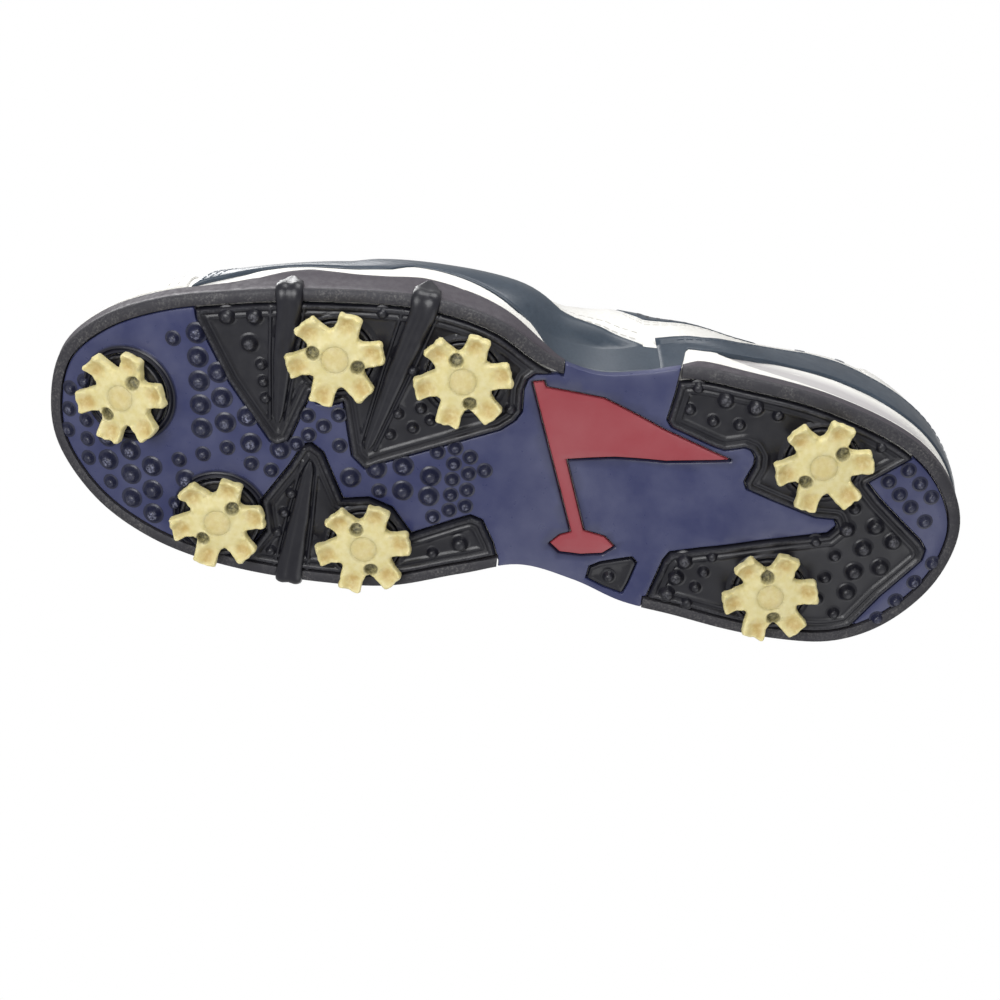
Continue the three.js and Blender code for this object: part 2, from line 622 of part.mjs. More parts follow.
// A rim: the worn edge under the sole, carried up the side as a thin wall outside the midsole.
function rim(columns) {
  const rings = columns.map(({ side, q }) => {
    const edge = soleEdge(side, q);
    const at = (inwards, z) => {
      const y = edge.y - edge.ny * inwards;
      return new THREE.Vector3(edge.x - edge.nx * inwards, y, z + rise(y));
    };
    const levels = wallLevels(side, q);
    const outside = levels.map((v) => wallPoint(side, q, v, -GAP - RIM_WALL));
    const inside = levels.map((v) => wallPoint(side, q, v, -GAP)).reverse();
    const inner = stationValue('tuck', q) - GAP - 0.1;
    return [
      at(RIM_WIDTH, RIM_BOTTOM), at(1.2, RIM_BOTTOM), at(0.1, RIM_BOTTOM + 0.9), ...outside, ...inside,
      at(inner, FOAM_BOTTOM - GAP), at(RIM_WIDTH, FOAM_BOTTOM - GAP),
    ];
  });
  return loft(rings);
}

// Share of the half outline at which the sole's edge reaches a place along the sole.
function shareAt(side, y) {
  let [low, high] = [0.02, 0.98];
  for (let i = 0; i < 22; i += 1) {
    const middle = (low + high) / 2;
    if (soleEdge(side, middle).y < y) low = middle;
    else high = middle;
  }
  return (low + high) / 2;
}

// A rounded rib that runs out from its tip, under the rim and up its side wall.
function fin(side, tip, edgeY, topZ, width) {
  const q = shareAt(side, edgeY);
  const edge = soleEdge(side, q);
  const outside = (z) => {
    const v = heightOnWall(side, q, z);
    return wallPoint(side, q, v, -2 * GAP - RIM_WALL);
  };
  const under = INSERT_BOTTOM + 0.05;
  const path = [
    [new THREE.Vector3(tip[0], tip[1], under), 0.35],
    [new THREE.Vector3((tip[0] + edge.x) / 2, (tip[1] + edge.y) / 2, under), 0.72],
    [new THREE.Vector3(edge.x - edge.nx * 5, edge.y - edge.ny * 5, under), 0.95],
    [new THREE.Vector3(edge.x - edge.nx, edge.y - edge.ny, under), 1],
    [new THREE.Vector3(edge.x + edge.nx * 0.55, edge.y + edge.ny * 0.55, RIM_BOTTOM + 1), 1],
    [outside(FOAM_BOTTOM + 2), 0.92],
    [outside((FOAM_BOTTOM + topZ) / 2), 0.85],
    [outside(topZ), 0.7],
  ];
  const rings = path.map(([centre, scale], i) => {
    const before = path[Math.max(i - 1, 0)][0];
    const after = path[Math.min(i + 1, path.length - 1)][0];
    const forward = after.clone().sub(before).normalize();
    const acrossAxis = new THREE.Vector3(-edge.ny, edge.nx, 0);
    const outward = acrossAxis.clone().cross(forward).normalize();
    if (outward.z > 0 || outward.x * side < -0.5) outward.negate();
    const ring = [];
    for (let k = 0; k <= 6; k += 1) {
      const angle = (Math.PI * k) / 6;
      ring.push(centre.clone()
        .addScaledVector(acrossAxis, (Math.cos(angle) * width * scale) / 2)
        .addScaledVector(outward, Math.sin(angle) * 1.9 * scale));
    }
    return ring;
  });
  return loft(rings);
}

const LATERAL_FINS = [fin(1, [6.8, -71.8], -70.8, 18, 8.6), fin(1, [0.9, -43], -28.5, 18.5, 9)];
const MEDIAL_FINS = [fin(-1, [-5.3, -60.7], -65.2, 18, 8.8)];

add('outsole_plate', outsolePlate(), COLOURS.navyPlate, 0.35);
add('forefoot_rim', rim(columnsBetween(-shareAt(-1, 1.5), shareAt(1, 15.6))), COLOURS.charcoal, 0.6);
add('heel_rim', rim(columnsBetween(shareAt(1, 53.6), 2 - shareAt(-1, 51.8))), COLOURS.charcoal, 0.6);
add('lateral_forefoot_insert', insert(LATERAL_INSERT, 'lateral', LATERAL_FINS), COLOURS.black, 0.4);
add('medial_forefoot_insert', insert(MEDIAL_INSERT, 'medial', MEDIAL_FINS), COLOURS.black, 0.4);
add('heel_insert', insert(HEEL_INSERT, 'heel'), COLOURS.black, 0.4);
add('waist_pad', bend(slab(WAIST_PAD, INSERT_BOTTOM + 0.4, INSERT_TOP)), COLOURS.black, 0.45);
add('sole_emblem', bend(slab(EMBLEM, PLATE_BOTTOM + 0.2, INSERT_TOP)), COLOURS.red, 0.4);

// ---------------------------------------------------------------------------------------------
// Cleats, their posts and receptacles
// ---------------------------------------------------------------------------------------------
// Pieces are drawn with their seat, the face of the plate, at z = 0.
// Receptacle: a round flange in the sole's face and a barrel with a blind bore for the post.
function receptacle(flange) {
  const [face, lip] = [FLANGE_BOTTOM + 0.6 - PLATE_BOTTOM, FLANGE_BOTTOM - PLATE_BOTTOM];
  const [shoulder, top, bore] = [FLANGE_TOP, BARREL_TOP, BORE_TOP].map((z) => z - PLATE_BOTTOM);
  return turned([
    [BORE_RADIUS, face], [flange - 1.6, face], [flange - 1, lip], [flange, lip + 0.3],
    [flange, shoulder], [BARREL_RADIUS, shoulder], [BARREL_RADIUS, top], [0, top], [0, bore],
    [BORE_RADIUS, bore], [BORE_RADIUS, face],
  ], HOLE_SIDES);
}

// Post: a stub with a thread ring, held in the cleat's hub and in the bore.
function post() {
  const [low, high] = [3.4 - PLATE_BOTTOM, 9.5 - PLATE_BOTTOM];
  return turned([[0, low], [POST_RADIUS, low], [POST_RADIUS, 0.2], [POST_RADIUS - 0.8, 0.6],
    [POST_RADIUS - 0.8, high], [0, high]], 8);
}

// Cleat: a hub with six arms that widen to their tips and reach down to the ground.
function cleat(wrench) {
  const corners = [
    { turn: -30, radius: 9.6, tip: false }, { turn: -13.5, radius: CLEAT_RADIUS, tip: true },
    { turn: 14.5, radius: CLEAT_RADIUS - 0.3, tip: true }, { turn: 17, radius: 11.8, tip: false },
  ];
  const spots = [];
  for (let arm = 0; arm < CLEAT_ARMS; arm += 1) {
    for (const corner of corners) {
      spots.push({ ...corner, angle: degrees(CLEAT_FIRST_ARM + (360 / CLEAT_ARMS) * arm + corner.turn) });
    }
  }
  const ringAt = (radiusOf, heightOf) => spots.map((spot) => new THREE.Vector3(
    Math.sin(spot.angle) * radiusOf(spot), Math.cos(spot.angle) * radiusOf(spot),
    heightOf(spot) - PLATE_BOTTOM));
  const round = (radius, z) => ringAt(() => radius, () => z);
  const socket = POST_RADIUS + GAP;
  let body = solid(loft([
    round(4.2, 1.2),
    ringAt((s) => Math.min(9, s.radius * 0.72), (s) => (s.tip ? 2.3 : 1.6)),
    ringAt((s) => s.radius * (s.tip ? 0.9 : 0.94), (s) => (s.tip ? 0 : 1.8)),
    ringAt((s) => s.radius, (s) => (s.tip ? 0 : 2.2)),
    ringAt((s) => s.radius, () => 3.4),
    round(9.2, CLEAT_TOP),
    round(socket, CLEAT_TOP),
    round(socket, 3.05),
  ]));
  const angle = degrees(wrench);
  const holes = [-1, 1].map((way) => {
    const [x, y] = [way * Math.sin(angle) * 7.3, way * Math.cos(angle) * 7.3];
    return plug(x, y, 1.9, 1.9, -PLATE_BOTTOM - 1, 3.4 - PLATE_BOTTOM, 8);
  });
  body = cutAll(body, holes);
  return toGeometry(body);
}

for (const place of CLEATS) {
  const slope = (rise(place.y + 1) - rise(place.y - 1)) / 2;
  const seat = new THREE.Group();
  seat.position.set(place.x, place.y, PLATE_BOTTOM + (Math.abs(slope) > 0.1 ? rise(place.y) : 0));
  seat.rotation.x = Math.abs(slope) > 0.1 ? Math.atan(slope) : 0;
  shoe.add(seat);
  add(`cleat_${place.name}`, cleat(place.wrench), COLOURS.cream, 0.55, 0, seat);
  add(`cleat_post_${place.name}`, post(), COLOURS.grey, 0.5, 0, seat);
  add(`receptacle_${place.name}`, receptacle(place.flange), COLOURS.black, 0.4, 0, seat);
}

// ---------------------------------------------------------------------------------------------
// Midsole and the boards under the foot
// ---------------------------------------------------------------------------------------------
const CUSHION = { x: -7, y: 98, halfWidth: 20, halfLength: 30, depth: 7 };
const SHANK = { fromY: -26, toY: 62, x: -1.5, halfWidth: 11, thickness: 1.2 };

// A flat strip along the sole that follows its rise.
function strip(fromY, toY, x, halfWidth, low, high) {
  const rings = [];
  const count = 10;
  for (let i = 0; i <= count; i += 1) {
    const y = fromY + ((toY - fromY) * i) / count;
    const lift = rise(y);
    rings.push([[-1, low], [1, low], [1, high], [-1, high]].map(([way, z]) =>
      new THREE.Vector3(x + way * halfWidth, y, z + lift)));
  }
  return loft(rings);
}

function ellipse(x, y, halfWidth, halfLength, sides) {
  return Array.from({ length: sides }, (_, i) => {
    const angle = (2 * Math.PI * i) / sides;
    return [x + halfWidth * Math.cos(angle), y + halfLength * Math.sin(angle)];
  });
}

// Section of the midsole at a column: up the outer wall to the stripe's top and down to the foot bed.
function midsoleSection({ side, q }) {
  const { y } = soleEdge(side, q);
  const level = footLevel(y) + rise(y);
  const topV = heightOnWall(side, q, stripeTop(side, y));
  const levelV = heightOnWall(side, q, level);
  const section = [-1, ...wallLevels(side, q), topV].map((v) => wallPoint(side, q, v, 0));
  section.push(wallPoint(side, q, topV, SKIN[1]), wallPoint(side, q, levelV, SKIN[1] + 0.2));
  section[0].z = FOAM_BOTTOM + rise(section[0].y);
  const inner = section[section.length - 1];
  inner.z = footLevel(inner.y) + rise(inner.y);
  return section;
}

function midsole() {
  const steps = Math.round(1 / COLUMN_STEP);
  const half = (side) => Array.from({ length: steps + 1 }, (_, i) => midsoleSection({
    side: i === 0 || i === steps ? 1 : side, q: i / steps,
  }));
  const [lateral, medial] = [half(1), half(-1)];
  const triangles = [];
  for (let i = 0; i < steps; i += 1) {
    const last = lateral[0].length - 1;
    for (let j = 0; j < last; j += 1) {
      quad(triangles, lateral[i][j], lateral[i + 1][j], lateral[i + 1][j + 1], lateral[i][j + 1]);
      quad(triangles, medial[i + 1][j], medial[i][j], medial[i][j + 1], medial[i + 1][j + 1]);
    }
    bridge(triangles, lateral[i][last], lateral[i + 1][last], medial[i + 1][last], medial[i][last]);
    bridge(triangles, medial[i][0], medial[i + 1][0], lateral[i + 1][0], lateral[i][0]);
  }
  const cushion = ellipse(CUSHION.x, CUSHION.y, CUSHION.halfWidth + GAP, CUSHION.halfLength + GAP, 20);
  const shank = strip(SHANK.fromY - GAP, SHANK.toY + GAP, SHANK.x, SHANK.halfWidth + GAP,
    FOAM_BOTTOM - 2, FOAM_BOTTOM + SHANK.thickness + 2 * GAP);
  return toGeometry(cutAll(solid(fromTriangles(triangles)), [
    slab(cushion, HEEL_LEVEL - CUSHION.depth, 60), shank, ...[1, -1].map(mudguardRoom),
  ]));
}

// Two triangles across the shoe, leaving out one that has no width at the toe or the heel.
function bridge(triangles, a, b, c, d) {
  if (a.distanceTo(d) < 1e-3) triangles.push([a, b, c]);
  else if (b.distanceTo(c) < 1e-3) triangles.push([a, b, d]);
  else quad(triangles, a, b, c, d);
}

add('heel_cushion', slab(ellipse(CUSHION.x, CUSHION.y, CUSHION.halfWidth, CUSHION.halfLength, 20),
  HEEL_LEVEL - CUSHION.depth + GAP, HEEL_LEVEL - 0.1), COLOURS.grey, 0.6);
add('shank_plate', strip(SHANK.fromY, SHANK.toY, SHANK.x, SHANK.halfWidth,
  FOAM_BOTTOM + GAP, FOAM_BOTTOM + GAP + SHANK.thickness), COLOURS.steel, 0.4, 0.9);

const boardInset = () => 4.6;
const boardLow = (y) => footLevel(y) + GAP;
const boardHigh = (y) => footLevel(y) + GAP + BOARD_THICKNESS;
add('lasting_board', sheet(0.03, 0.97, 30, boardInset, boardLow, boardHigh), COLOURS.board, 0.9);
const linerInset = (y) => 8.6 - 1.5 * smoothstep(y, -40, 60);
const linerLow = (y) => boardHigh(y) + 0.4;
const linerHigh = (y) => boardHigh(y) + 0.4 + SOCKLINER_THICKNESS;
add('sockliner', sheet(0.05, 0.95, 30, linerInset, linerLow, linerHigh), COLOURS.textile, 0.9);

// ---------------------------------------------------------------------------------------------
// Upper
// ---------------------------------------------------------------------------------------------
const edgeY = (c) => soleEdge(c.side, c.q).y;
const above = (c, height) => heightOnWall(c.side, c.q, height);
const bedLine = (c) => above(c, footLevel(edgeY(c)) + rise(edgeY(c)) + BOARD_THICKNESS + 1.4);
const stripeLine = (c) => above(c, stripeTop(c.side, edgeY(c)) + 0.5);
const ridge = () => 1;
const TOE_CAP_Q = 0.215;

// Upper edge of the mudguard, along the sole.
const GUARD_TOP = [[-100, 32], [-85, 37], [-60, 41], [-30, 42], [-10, 40.5], [-2, 39], [3, 35.5], [8, 32],
  [15, 29.8], [28, 27.6], [40, 25.3], [50, 22.5]];
const guardTop = (c) => above(c, along(GUARD_TOP, edgeY(c)) + rise(edgeY(c)));
const guardLow = (c) => {
  const y = edgeY(c);
  return THREE.MathUtils.lerp(stripeLine(c), -0.97, smoothstep(y, 0, 16));
};
const GUARD_TO_Y = 47;

// Navy band round the heel, above the midsole.
const BAND_FROM_Y = 44;
const bandLow = (c) => above(c, stripeTop(c.side, edgeY(c)) + 0.9);
const BAND_TOP = [[44, 29], [60, 29.8], [71, 33.5], [83, 40], [95, 46], [106, 46.8], [117, 44.5], [149, 41]];
const bandTop = (c) => above(c, along(BAND_TOP, edgeY(c)) + 0.4 * rise(edgeY(c)));
const bandRoof = (c) => above(c, along(BAND_TOP, edgeY(c)) + 0.4 * rise(edgeY(c)) + 0.8);

function skin(name, columns, low, high, color, roughness, rows, sewn = false) {
  const [outer, inner] = SKIN;
  return add(name, panel({ columns, low, high, outer, inner, rows, sewn }), color, roughness);
}

// Eyelets: five holes a side, set along the throat's edge.
const EYELET_SHARES = [0.385, 0.435, 0.485, 0.535, 0.585];
const EYELET_V = 0.93;
const EYELET_HOLE = 2.7;
function eyeletFrame(side, q) {
  const centre = wallPoint(side, q, EYELET_V, 0);
  const up = wallNormal(side, q, EYELET_V);
  const turn = new THREE.Quaternion().setFromUnitVectors(new THREE.Vector3(0, 0, 1), up);
  return { centre, turn };
}

function eyeletPiece(side, q, geometry) {
  const { centre, turn } = eyeletFrame(side, q);
  geometry.applyQuaternion(turn);
  geometry.translate(centre.x, centre.y, centre.z);
  return geometry;
}

function withEyeletHoles(geometry, side) {
  const cutters = EYELET_SHARES.map((q) => eyeletPiece(side, q,
    plug(0, 0, EYELET_HOLE, EYELET_HOLE, -3, 3, 8)));
  return toGeometry(cutAll(solid(geometry), cutters));
}

// Columns on one side, from a share nearer the toe to one nearer the heel.
function columnsOn(side, fromQ, toQ) {
  return side > 0 ? columnsBetween(fromQ, toQ) : columnsBetween(-toQ, -fromQ);
}

// The room that the mudguard takes, with its clearance, which the midsole leaves free.
function mudguardRoom(side) {
  return panel({
    columns: columnsOn(side, TOE_CAP_Q - 0.01, shareAt(side, GUARD_TO_Y + 1.5)),
    low: (c) => guardLow(c) - 0.02 - 0.2 * smoothstep(edgeY(c), 0, 16), high: (c) => guardTop(c) + 0.05,
    outer: -5, inner: SKIN[1] + 0.6, rows: 7,
  });
}

add('midsole', midsole(), COLOURS.foam, 0.7);
skin('toe_cap', columnsBetween(-TOE_CAP_Q, TOE_CAP_Q), stripeLine, ridge, COLOURS.white, 0.5, 5, true);

for (const [side, name] of [[1, 'lateral'], [-1, 'medial']]) {
  skin(`mudguard_${name}`, columnsOn(side, TOE_CAP_Q + 0.005, shareAt(side, GUARD_TO_Y)), guardLow, guardTop,
    COLOURS.navyLeather, 0.4, 7);
  const stay = panel({
    columns: columnsOn(side, THROAT_Q + 0.012, 0.605), low: () => 0.85, high: ridge,
    outer: SKIN[0], inner: SKIN[1], rows: 2,
  });
  add(`eyestay_${name}`, withEyeletHoles(stay, side), COLOURS.white, 0.5);
  const quarter = panel({
    columns: columnsOn(side, THROAT_Q + 0.006, 0.993), low: bedLine, high: ridge,
    outer: BASE[0], inner: BASE[1], rows: 7,
  });
  add(`quarter_${name}`, quarter, COLOURS.white, 0.5);
  EYELET_SHARES.forEach((q, i) => {
    const ring = turned([[1.6, -1.6], [2.3, -1.6], [2.3, 0.3], [3.6, 0.3], [3.6, 0.8], [1.6, 0.8],
      [1.6, -1.6]], 8);
    add(`eyelet_${name}_${i + 1}`, eyeletPiece(side, q, ring), COLOURS.steel, 0.3, 1);
  });
}

const bandColumns = columnsBetween(shareAt(1, BAND_FROM_Y + 4), 2 - shareAt(-1, BAND_FROM_Y + 4));
skin('heel_band', bandColumns, bandLow, bandTop, COLOURS.navyLeather, 0.4, 2);
skin('heel_patch', columnsBetween(0.86, 1.14), bandRoof, () => 0.86, COLOURS.white, 0.5, 3);

add('vamp', panel({
  columns: columnsBetween(-THROAT_Q, THROAT_Q), low: bedLine, high: ridge,
  outer: BASE[0], inner: BASE[1], rows: 5, sewn: true,
}), COLOURS.white, 0.5);
add('toe_puff', panel({
  columns: columnsBetween(-0.19, 0.19), low: bedLine, high: () => 0.8,
  outer: STIFFENER[0], inner: STIFFENER[1], rows: 4,
}), COLOURS.grey, 0.8);
add('heel_counter', panel({
  columns: columnsBetween(0.78, 1.22), low: bedLine, high: () => 0.6,
  outer: STIFFENER[0], inner: STIFFENER[1], rows: 3,
}), COLOURS.grey, 0.8);

// The lining lies deeper where the collar is padded.
const padding = (c, v) => smoothstep(c.q, 0.6, 0.68) * smoothstep(v, 0.56, 0.68);
const liningOuter = (c, v) => LINING_DEPTH + COLLAR_PAD * padding(c, v);
const liningInner = (c, v) => liningOuter(c, v) + LINING_THICKNESS;
add('lining', panel({
  columns: columnsBetween(-1, 1).slice(0, -1), low: bedLine, high: ridge,
  outer: liningOuter, inner: liningInner, rows: 5, ring: true, sewn: true,
}), COLOURS.textile, 0.9);
add('collar_padding', panel({
  columns: columnsBetween(0.69, 1.31), low: () => 0.7, high: () => 0.985,
  outer: STIFFENER[0], inner: (c, v) => liningOuter(c, v) - 1.3, rows: 3,
}), COLOURS.grey, 0.95);

// Tongue: a padded flap under the throat, which goes on up past the last eyelets.
const TONGUE_DEPTH = 8.8;
const TONGUE_THICKNESS = 4.5;
const TONGUE_FIRST_Q = THROAT_Q + 0.02;
const TONGUE_LAST_Q = 0.57;
// The free end above the last eyelets, and its width at shares of its length.
const TONGUE_TAIL = { back: 20, lift: 28, widths: [[0.25, 0.69], [0.5, 0.74], [0.75, 0.8], [1, 0.7]] };
function tongue() {
  const rings = [];
  const steps = 8;
  const reach = [0.89, 0.945, 1];
  const row = (q, depth) => [
    ...reach.map((v) => wallPoint(1, q, v, depth)),
    ...[...reach].reverse().map((v) => wallPoint(-1, q, v, depth)),
  ];
  for (let i = 0; i <= steps; i += 1) {
    const q = TONGUE_FIRST_Q + ((TONGUE_LAST_Q - TONGUE_FIRST_Q) * i) / steps;
    rings.push([...row(q, TONGUE_DEPTH), ...row(q, TONGUE_DEPTH + TONGUE_THICKNESS).reverse()]);
  }
  const last = rings[rings.length - 1];
  const middle = (last[0].x + last[5].x) / 2;
  for (const [t, width] of TONGUE_TAIL.widths) {
    const back = TONGUE_TAIL.back * Math.sin((Math.PI * t) / 2);
    const lift = TONGUE_TAIL.lift * t;
    rings.push(last.map((p) => new THREE.Vector3(middle + (p.x - middle) * width, p.y + back, p.z + lift)));
  }
  return loft(rings);
}
add('tongue', tongue(), COLOURS.white, 0.6);

export default shoe;
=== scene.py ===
"""Looks of a left golf shoe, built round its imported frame: moulded sole, cleats, midsole and sewn upper.

Lengths are in millimetres, in the sole's own axes (toe -Y, heel +Y, outer side +X), until place() turns
them into the frame's metres.
"""

import math
from types import SimpleNamespace

import bpy
import numpy as np
from bpy.props import FloatProperty, FloatVectorProperty, PointerProperty
from bpy.types import Operator, Panel, PropertyGroup
from mathutils import Matrix, Vector
from mathutils.geometry import delaunay_2d_cdt


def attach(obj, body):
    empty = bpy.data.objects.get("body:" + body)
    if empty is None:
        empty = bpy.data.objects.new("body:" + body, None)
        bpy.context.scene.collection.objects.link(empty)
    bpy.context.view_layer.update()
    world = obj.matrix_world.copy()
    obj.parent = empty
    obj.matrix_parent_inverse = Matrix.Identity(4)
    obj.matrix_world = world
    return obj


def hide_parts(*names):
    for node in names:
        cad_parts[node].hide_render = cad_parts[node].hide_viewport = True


bl_info = {
    "name": "Golf shoe looks",
    "version": (1, 0, 0),
    "blender": (4, 5, 0),
    "location": "View3D > Sidebar > Golf shoe",
    "description": "Builds the visible pieces and materials of a golf shoe round its packed frame",
    "category": "Add Mesh",
}

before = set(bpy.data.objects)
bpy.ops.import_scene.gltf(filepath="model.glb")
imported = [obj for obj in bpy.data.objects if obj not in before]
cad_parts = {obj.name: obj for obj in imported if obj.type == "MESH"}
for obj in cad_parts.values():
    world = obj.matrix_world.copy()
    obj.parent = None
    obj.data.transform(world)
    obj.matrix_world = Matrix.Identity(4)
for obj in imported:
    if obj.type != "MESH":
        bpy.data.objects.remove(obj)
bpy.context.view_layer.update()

MM = 0.001
SHIFT = np.array([-2.825, -1.135, 0.0])      # from the sole's own axes to the frame's
GAP = 0.35                   # between neighbouring pieces
SEED = 7

# ---------------------------------------------------------------------------------------------
# Driving sizes of the shoe
# ---------------------------------------------------------------------------------------------
PLATE_FACE, PLATE_BACK = 8.0, 11.0
INSERT_BACK = 9.4
RIM_FACE, RIM_WIDTH, RIM_WALL = 7.4, 3.7, 1.6
FOAM_BOTTOM = PLATE_BACK + GAP
FOREFOOT_LEVEL, HEEL_LEVEL = 17.5, 25.0     # of the foot bed under the wall
THROAT_Q = 0.34              # q, the share from toe to heel, where the throat starts
TOE_CAP_Q = 0.215            # q of the toe cap's seam
WRENCH_REACH = 7.3           # from a cleat's axis to each of its two wrench holes
POD_WIDE, POD = 13.0, 11.4   # radii of the pods that the cleats turn in

SOLE_POINTS = [
    (0, -148), (17.5, -144.5), (31.5, -131.5), (42, -111.5), (48.5, -85), (52, -57), (52.7, -27),
    (47.5, -4.5), (37.5, 12.5), (33, 28), (35, 42), (39, 56), (38.5, 72), (34, 101), (22.5, 130),
    (9, 143.3), (-6, 148.7), (-24, 144.3), (-40, 130.6), (-48.3, 115), (-49.9, 95), (-46.5, 63),
    (-44.8, 44), (-38.8, 27.5), (-34.3, 9), (-39.3, -9.5), (-46.3, -32), (-47.8, -55), (-46, -83.5),
    (-39.7, -112.4), (-29.5, -132), (-14, -145.2),
]
HEEL_INDEX = 16

STATION_KEYS = ("q", "centre", "half", "topY", "topZ", "flareL", "flareM", "outL", "outM", "up",
                "outTop", "upTop", "tuck")
STATIONS = np.array([
    [0.000, 0, 0, -120, 49.0, -0.4, -0.4, 5, 5, 13, 16, 0, 1.9],
    [0.107, 0, 0, -113, 51.5, -0.4, -0.4, 6, 6, 14, 17, 0, 1.9],
    [0.206, 1, 0, -97, 56.0, -0.5, -0.5, 9, 9, 19, 25, -1, 1.9],
    [0.285, 1.5, 0, -75, 61.5, -0.6, -0.6, 11, 11, 23, 31, -2, 1.9],
    [0.340, 1.5, 0, -54, 67.5, -0.6, -0.6, 12, 11, 26, 33, -3, 1.9],
    [0.365, 1.4, 8, -46, 69.5, -0.5, -0.5, 12.5, 11, 26, 30, -4, 1.9],
    [0.435, 0.5, 12, -20, 77.0, 0.5, 0.5, 14, 11, 24, 24, -10, 1.9],
    [0.530, -1.5, 15, 12, 87.0, 2.5, 2, 19, 12, 20, 18, -16, 1.2],
    [0.600, -3, 18, 38, 95.0, 4, 3, 24, 13, 15, 16, -22, 0.8],
    [0.685, -4, 27, 63, 86.0, 2, 1.5, 10, 8, 17, 10, -20, 1.3],
    [0.760, -5, 33, 88, 78.0, 0.6, 0.6, 3, 3, 18, 8, -18, 1.9],
    [0.840, -5.5, 31, 112, 79.0, 0.6, 0.6, 3, 3, 18, 8, -18, 1.9],
    [0.920, -6, 19, 131, 85.0, 0.8, 0.8, 4, 4, 20, 7, -20, 1.9],
    [1.000, -6, 0, 139, 89.0, 1, 1, 5, 5, 22, 6, -22, 1.9],
])

# name, x, y, direction of the pair of wrench holes in degrees from +Y towards +X, pod radius
CLEATS = [
    ("toe", 9, -120.5, 55, POD_WIDE), ("lateral_front", 31.5, -54.5, -12, POD),
    ("lateral_rear", 29, -14.5, 112, POD), ("medial_front", -28, -88.5, 52, POD_WIDE),
    ("medial_rear", -31.5, -41, 113, POD), ("heel_lateral", 14, 100.5, 47, POD),
    ("heel_medial", -32.5, 91, 106, POD),
]

LATERAL_INSERT = [
    (60, -100.5), (45, -100.5), (37.5, -99), (18.5, -88), (0, -74), (-1, -71.5), (1, -68), (18, -62),
    (14.5, -60), (14.5, -55.5), (16, -51.5), (-2, -47.5), (-6, -43), (-3.5, -38.5), (4.5, -20),
    (12.5, -1.5), (16, 2.8), (19, 4.5), (26.5, 4.2), (30, 5.2), (32, 7.5), (32.5, 14), (36, 16.3), (60, 16.3),
]
MEDIAL_INSERT = [
    (-60, -87), (-45, -86.5), (-40, -79), (-31, -73.5), (-20.8, -75.5), (-7.5, -67), (-0.5, -63.5),
    (0.7, -61), (-2, -57), (-17.5, -49.5), (-16, -41), (-18.5, -33.5), (-27, -26.5), (-20.5, -13),
    (-18.3, -8), (-19.5, -4.2), (-27, 0), (-33.5, 2.2), (-60, 2.2),
]
HEEL_INSERT = [
    (60, 53), (38.5, 53), (29.3, 52.2), (20.6, 50.8), (18.5, 52.4), (14.3, 66.6), (13.8, 69.8),
    (15.7, 75.8), (15, 78.1), (12.8, 79.7), (10, 79.8), (4, 77.6), (1.7, 78.6), (-1.4, 88),
    (-5.3, 101.5), (-5.2, 108), (-7.5, 109.2), (-10.7, 106.6), (-16, 85.5), (-21.3, 67), (-24.5, 57.7),
    (-27.5, 56), (-38.9, 53.1), (-46.3, 51), (-60, 51), (-60, 112.5), (-46.8, 116), (-30, 127),
    (-16.5, 138), (-12.9, 138.5), (-9.9, 136.3), (3, 121), (8.3, 115.8), (20.6, 131.3), (34, 148), (60, 140),
]
WAIST_PAD = [(-37.5, 32), (-33.6, 32.6), (-31.8, 35.7), (-28.6, 45.8), (-30.1, 47.3),
             (-37.7, 45.4), (-41.5, 44), (-40, 38)]
EMBLEM = [
    (29, 7), (29.5, 10.5), (27.5, 11.5), (25, 30), (17, 50), (10.5, 72), (6.5, 52), (5.5, 36), (3.5, 20.5),
    (-21, 29), (-22.5, 36), (-25.5, 39.5), (-28.5, 36), (-29.5, 29), (-29, 22), (-26, 18.5), (-23, 21.5),
    (-21.8, 25),
]

# Rows of moulded nubs: first place, last place and how many.
LARGE_NUBS = {
    "plate": [
        ((-7.5, -127.5), (-15.5, -127), 2), ((-10.5, -119.5), (-27, -118.5), 3),
        ((-14.5, -112), (-31, -111), 3), ((33, -99), (1.5, -96), 5), ((21, -91.5), (4.5, -88.5), 3),
        ((7.5, -81.5), (-1.5, -80), 2), ((-2.5, -70.5), (-2.5, -70.5), 1), ((-17, -100.5), (-17, -100.5), 1),
        ((-9.5, -47.5), (-5.5, -39.5), 2), ((-3.5, -31), (-12, -30.5), 2), ((-6, -22), (-13, -22), 2),
    ],
    "insert": [
        ((40, -89.5), (41, -81), 2), ((32, -82), (32, -82), 1), ((-28, -10.5), (-28, -10.5), 1),
        ((30.5, 67.5), (29.5, 77), 2), ((-8, 112), (-20, 125), 3), ((-6, 121), (-10.5, 127.5), 2),
        ((-22.5, 117), (-30, 116), 2), ((-26, 62.5), (-38.5, 58.5), 3),
    ],
}
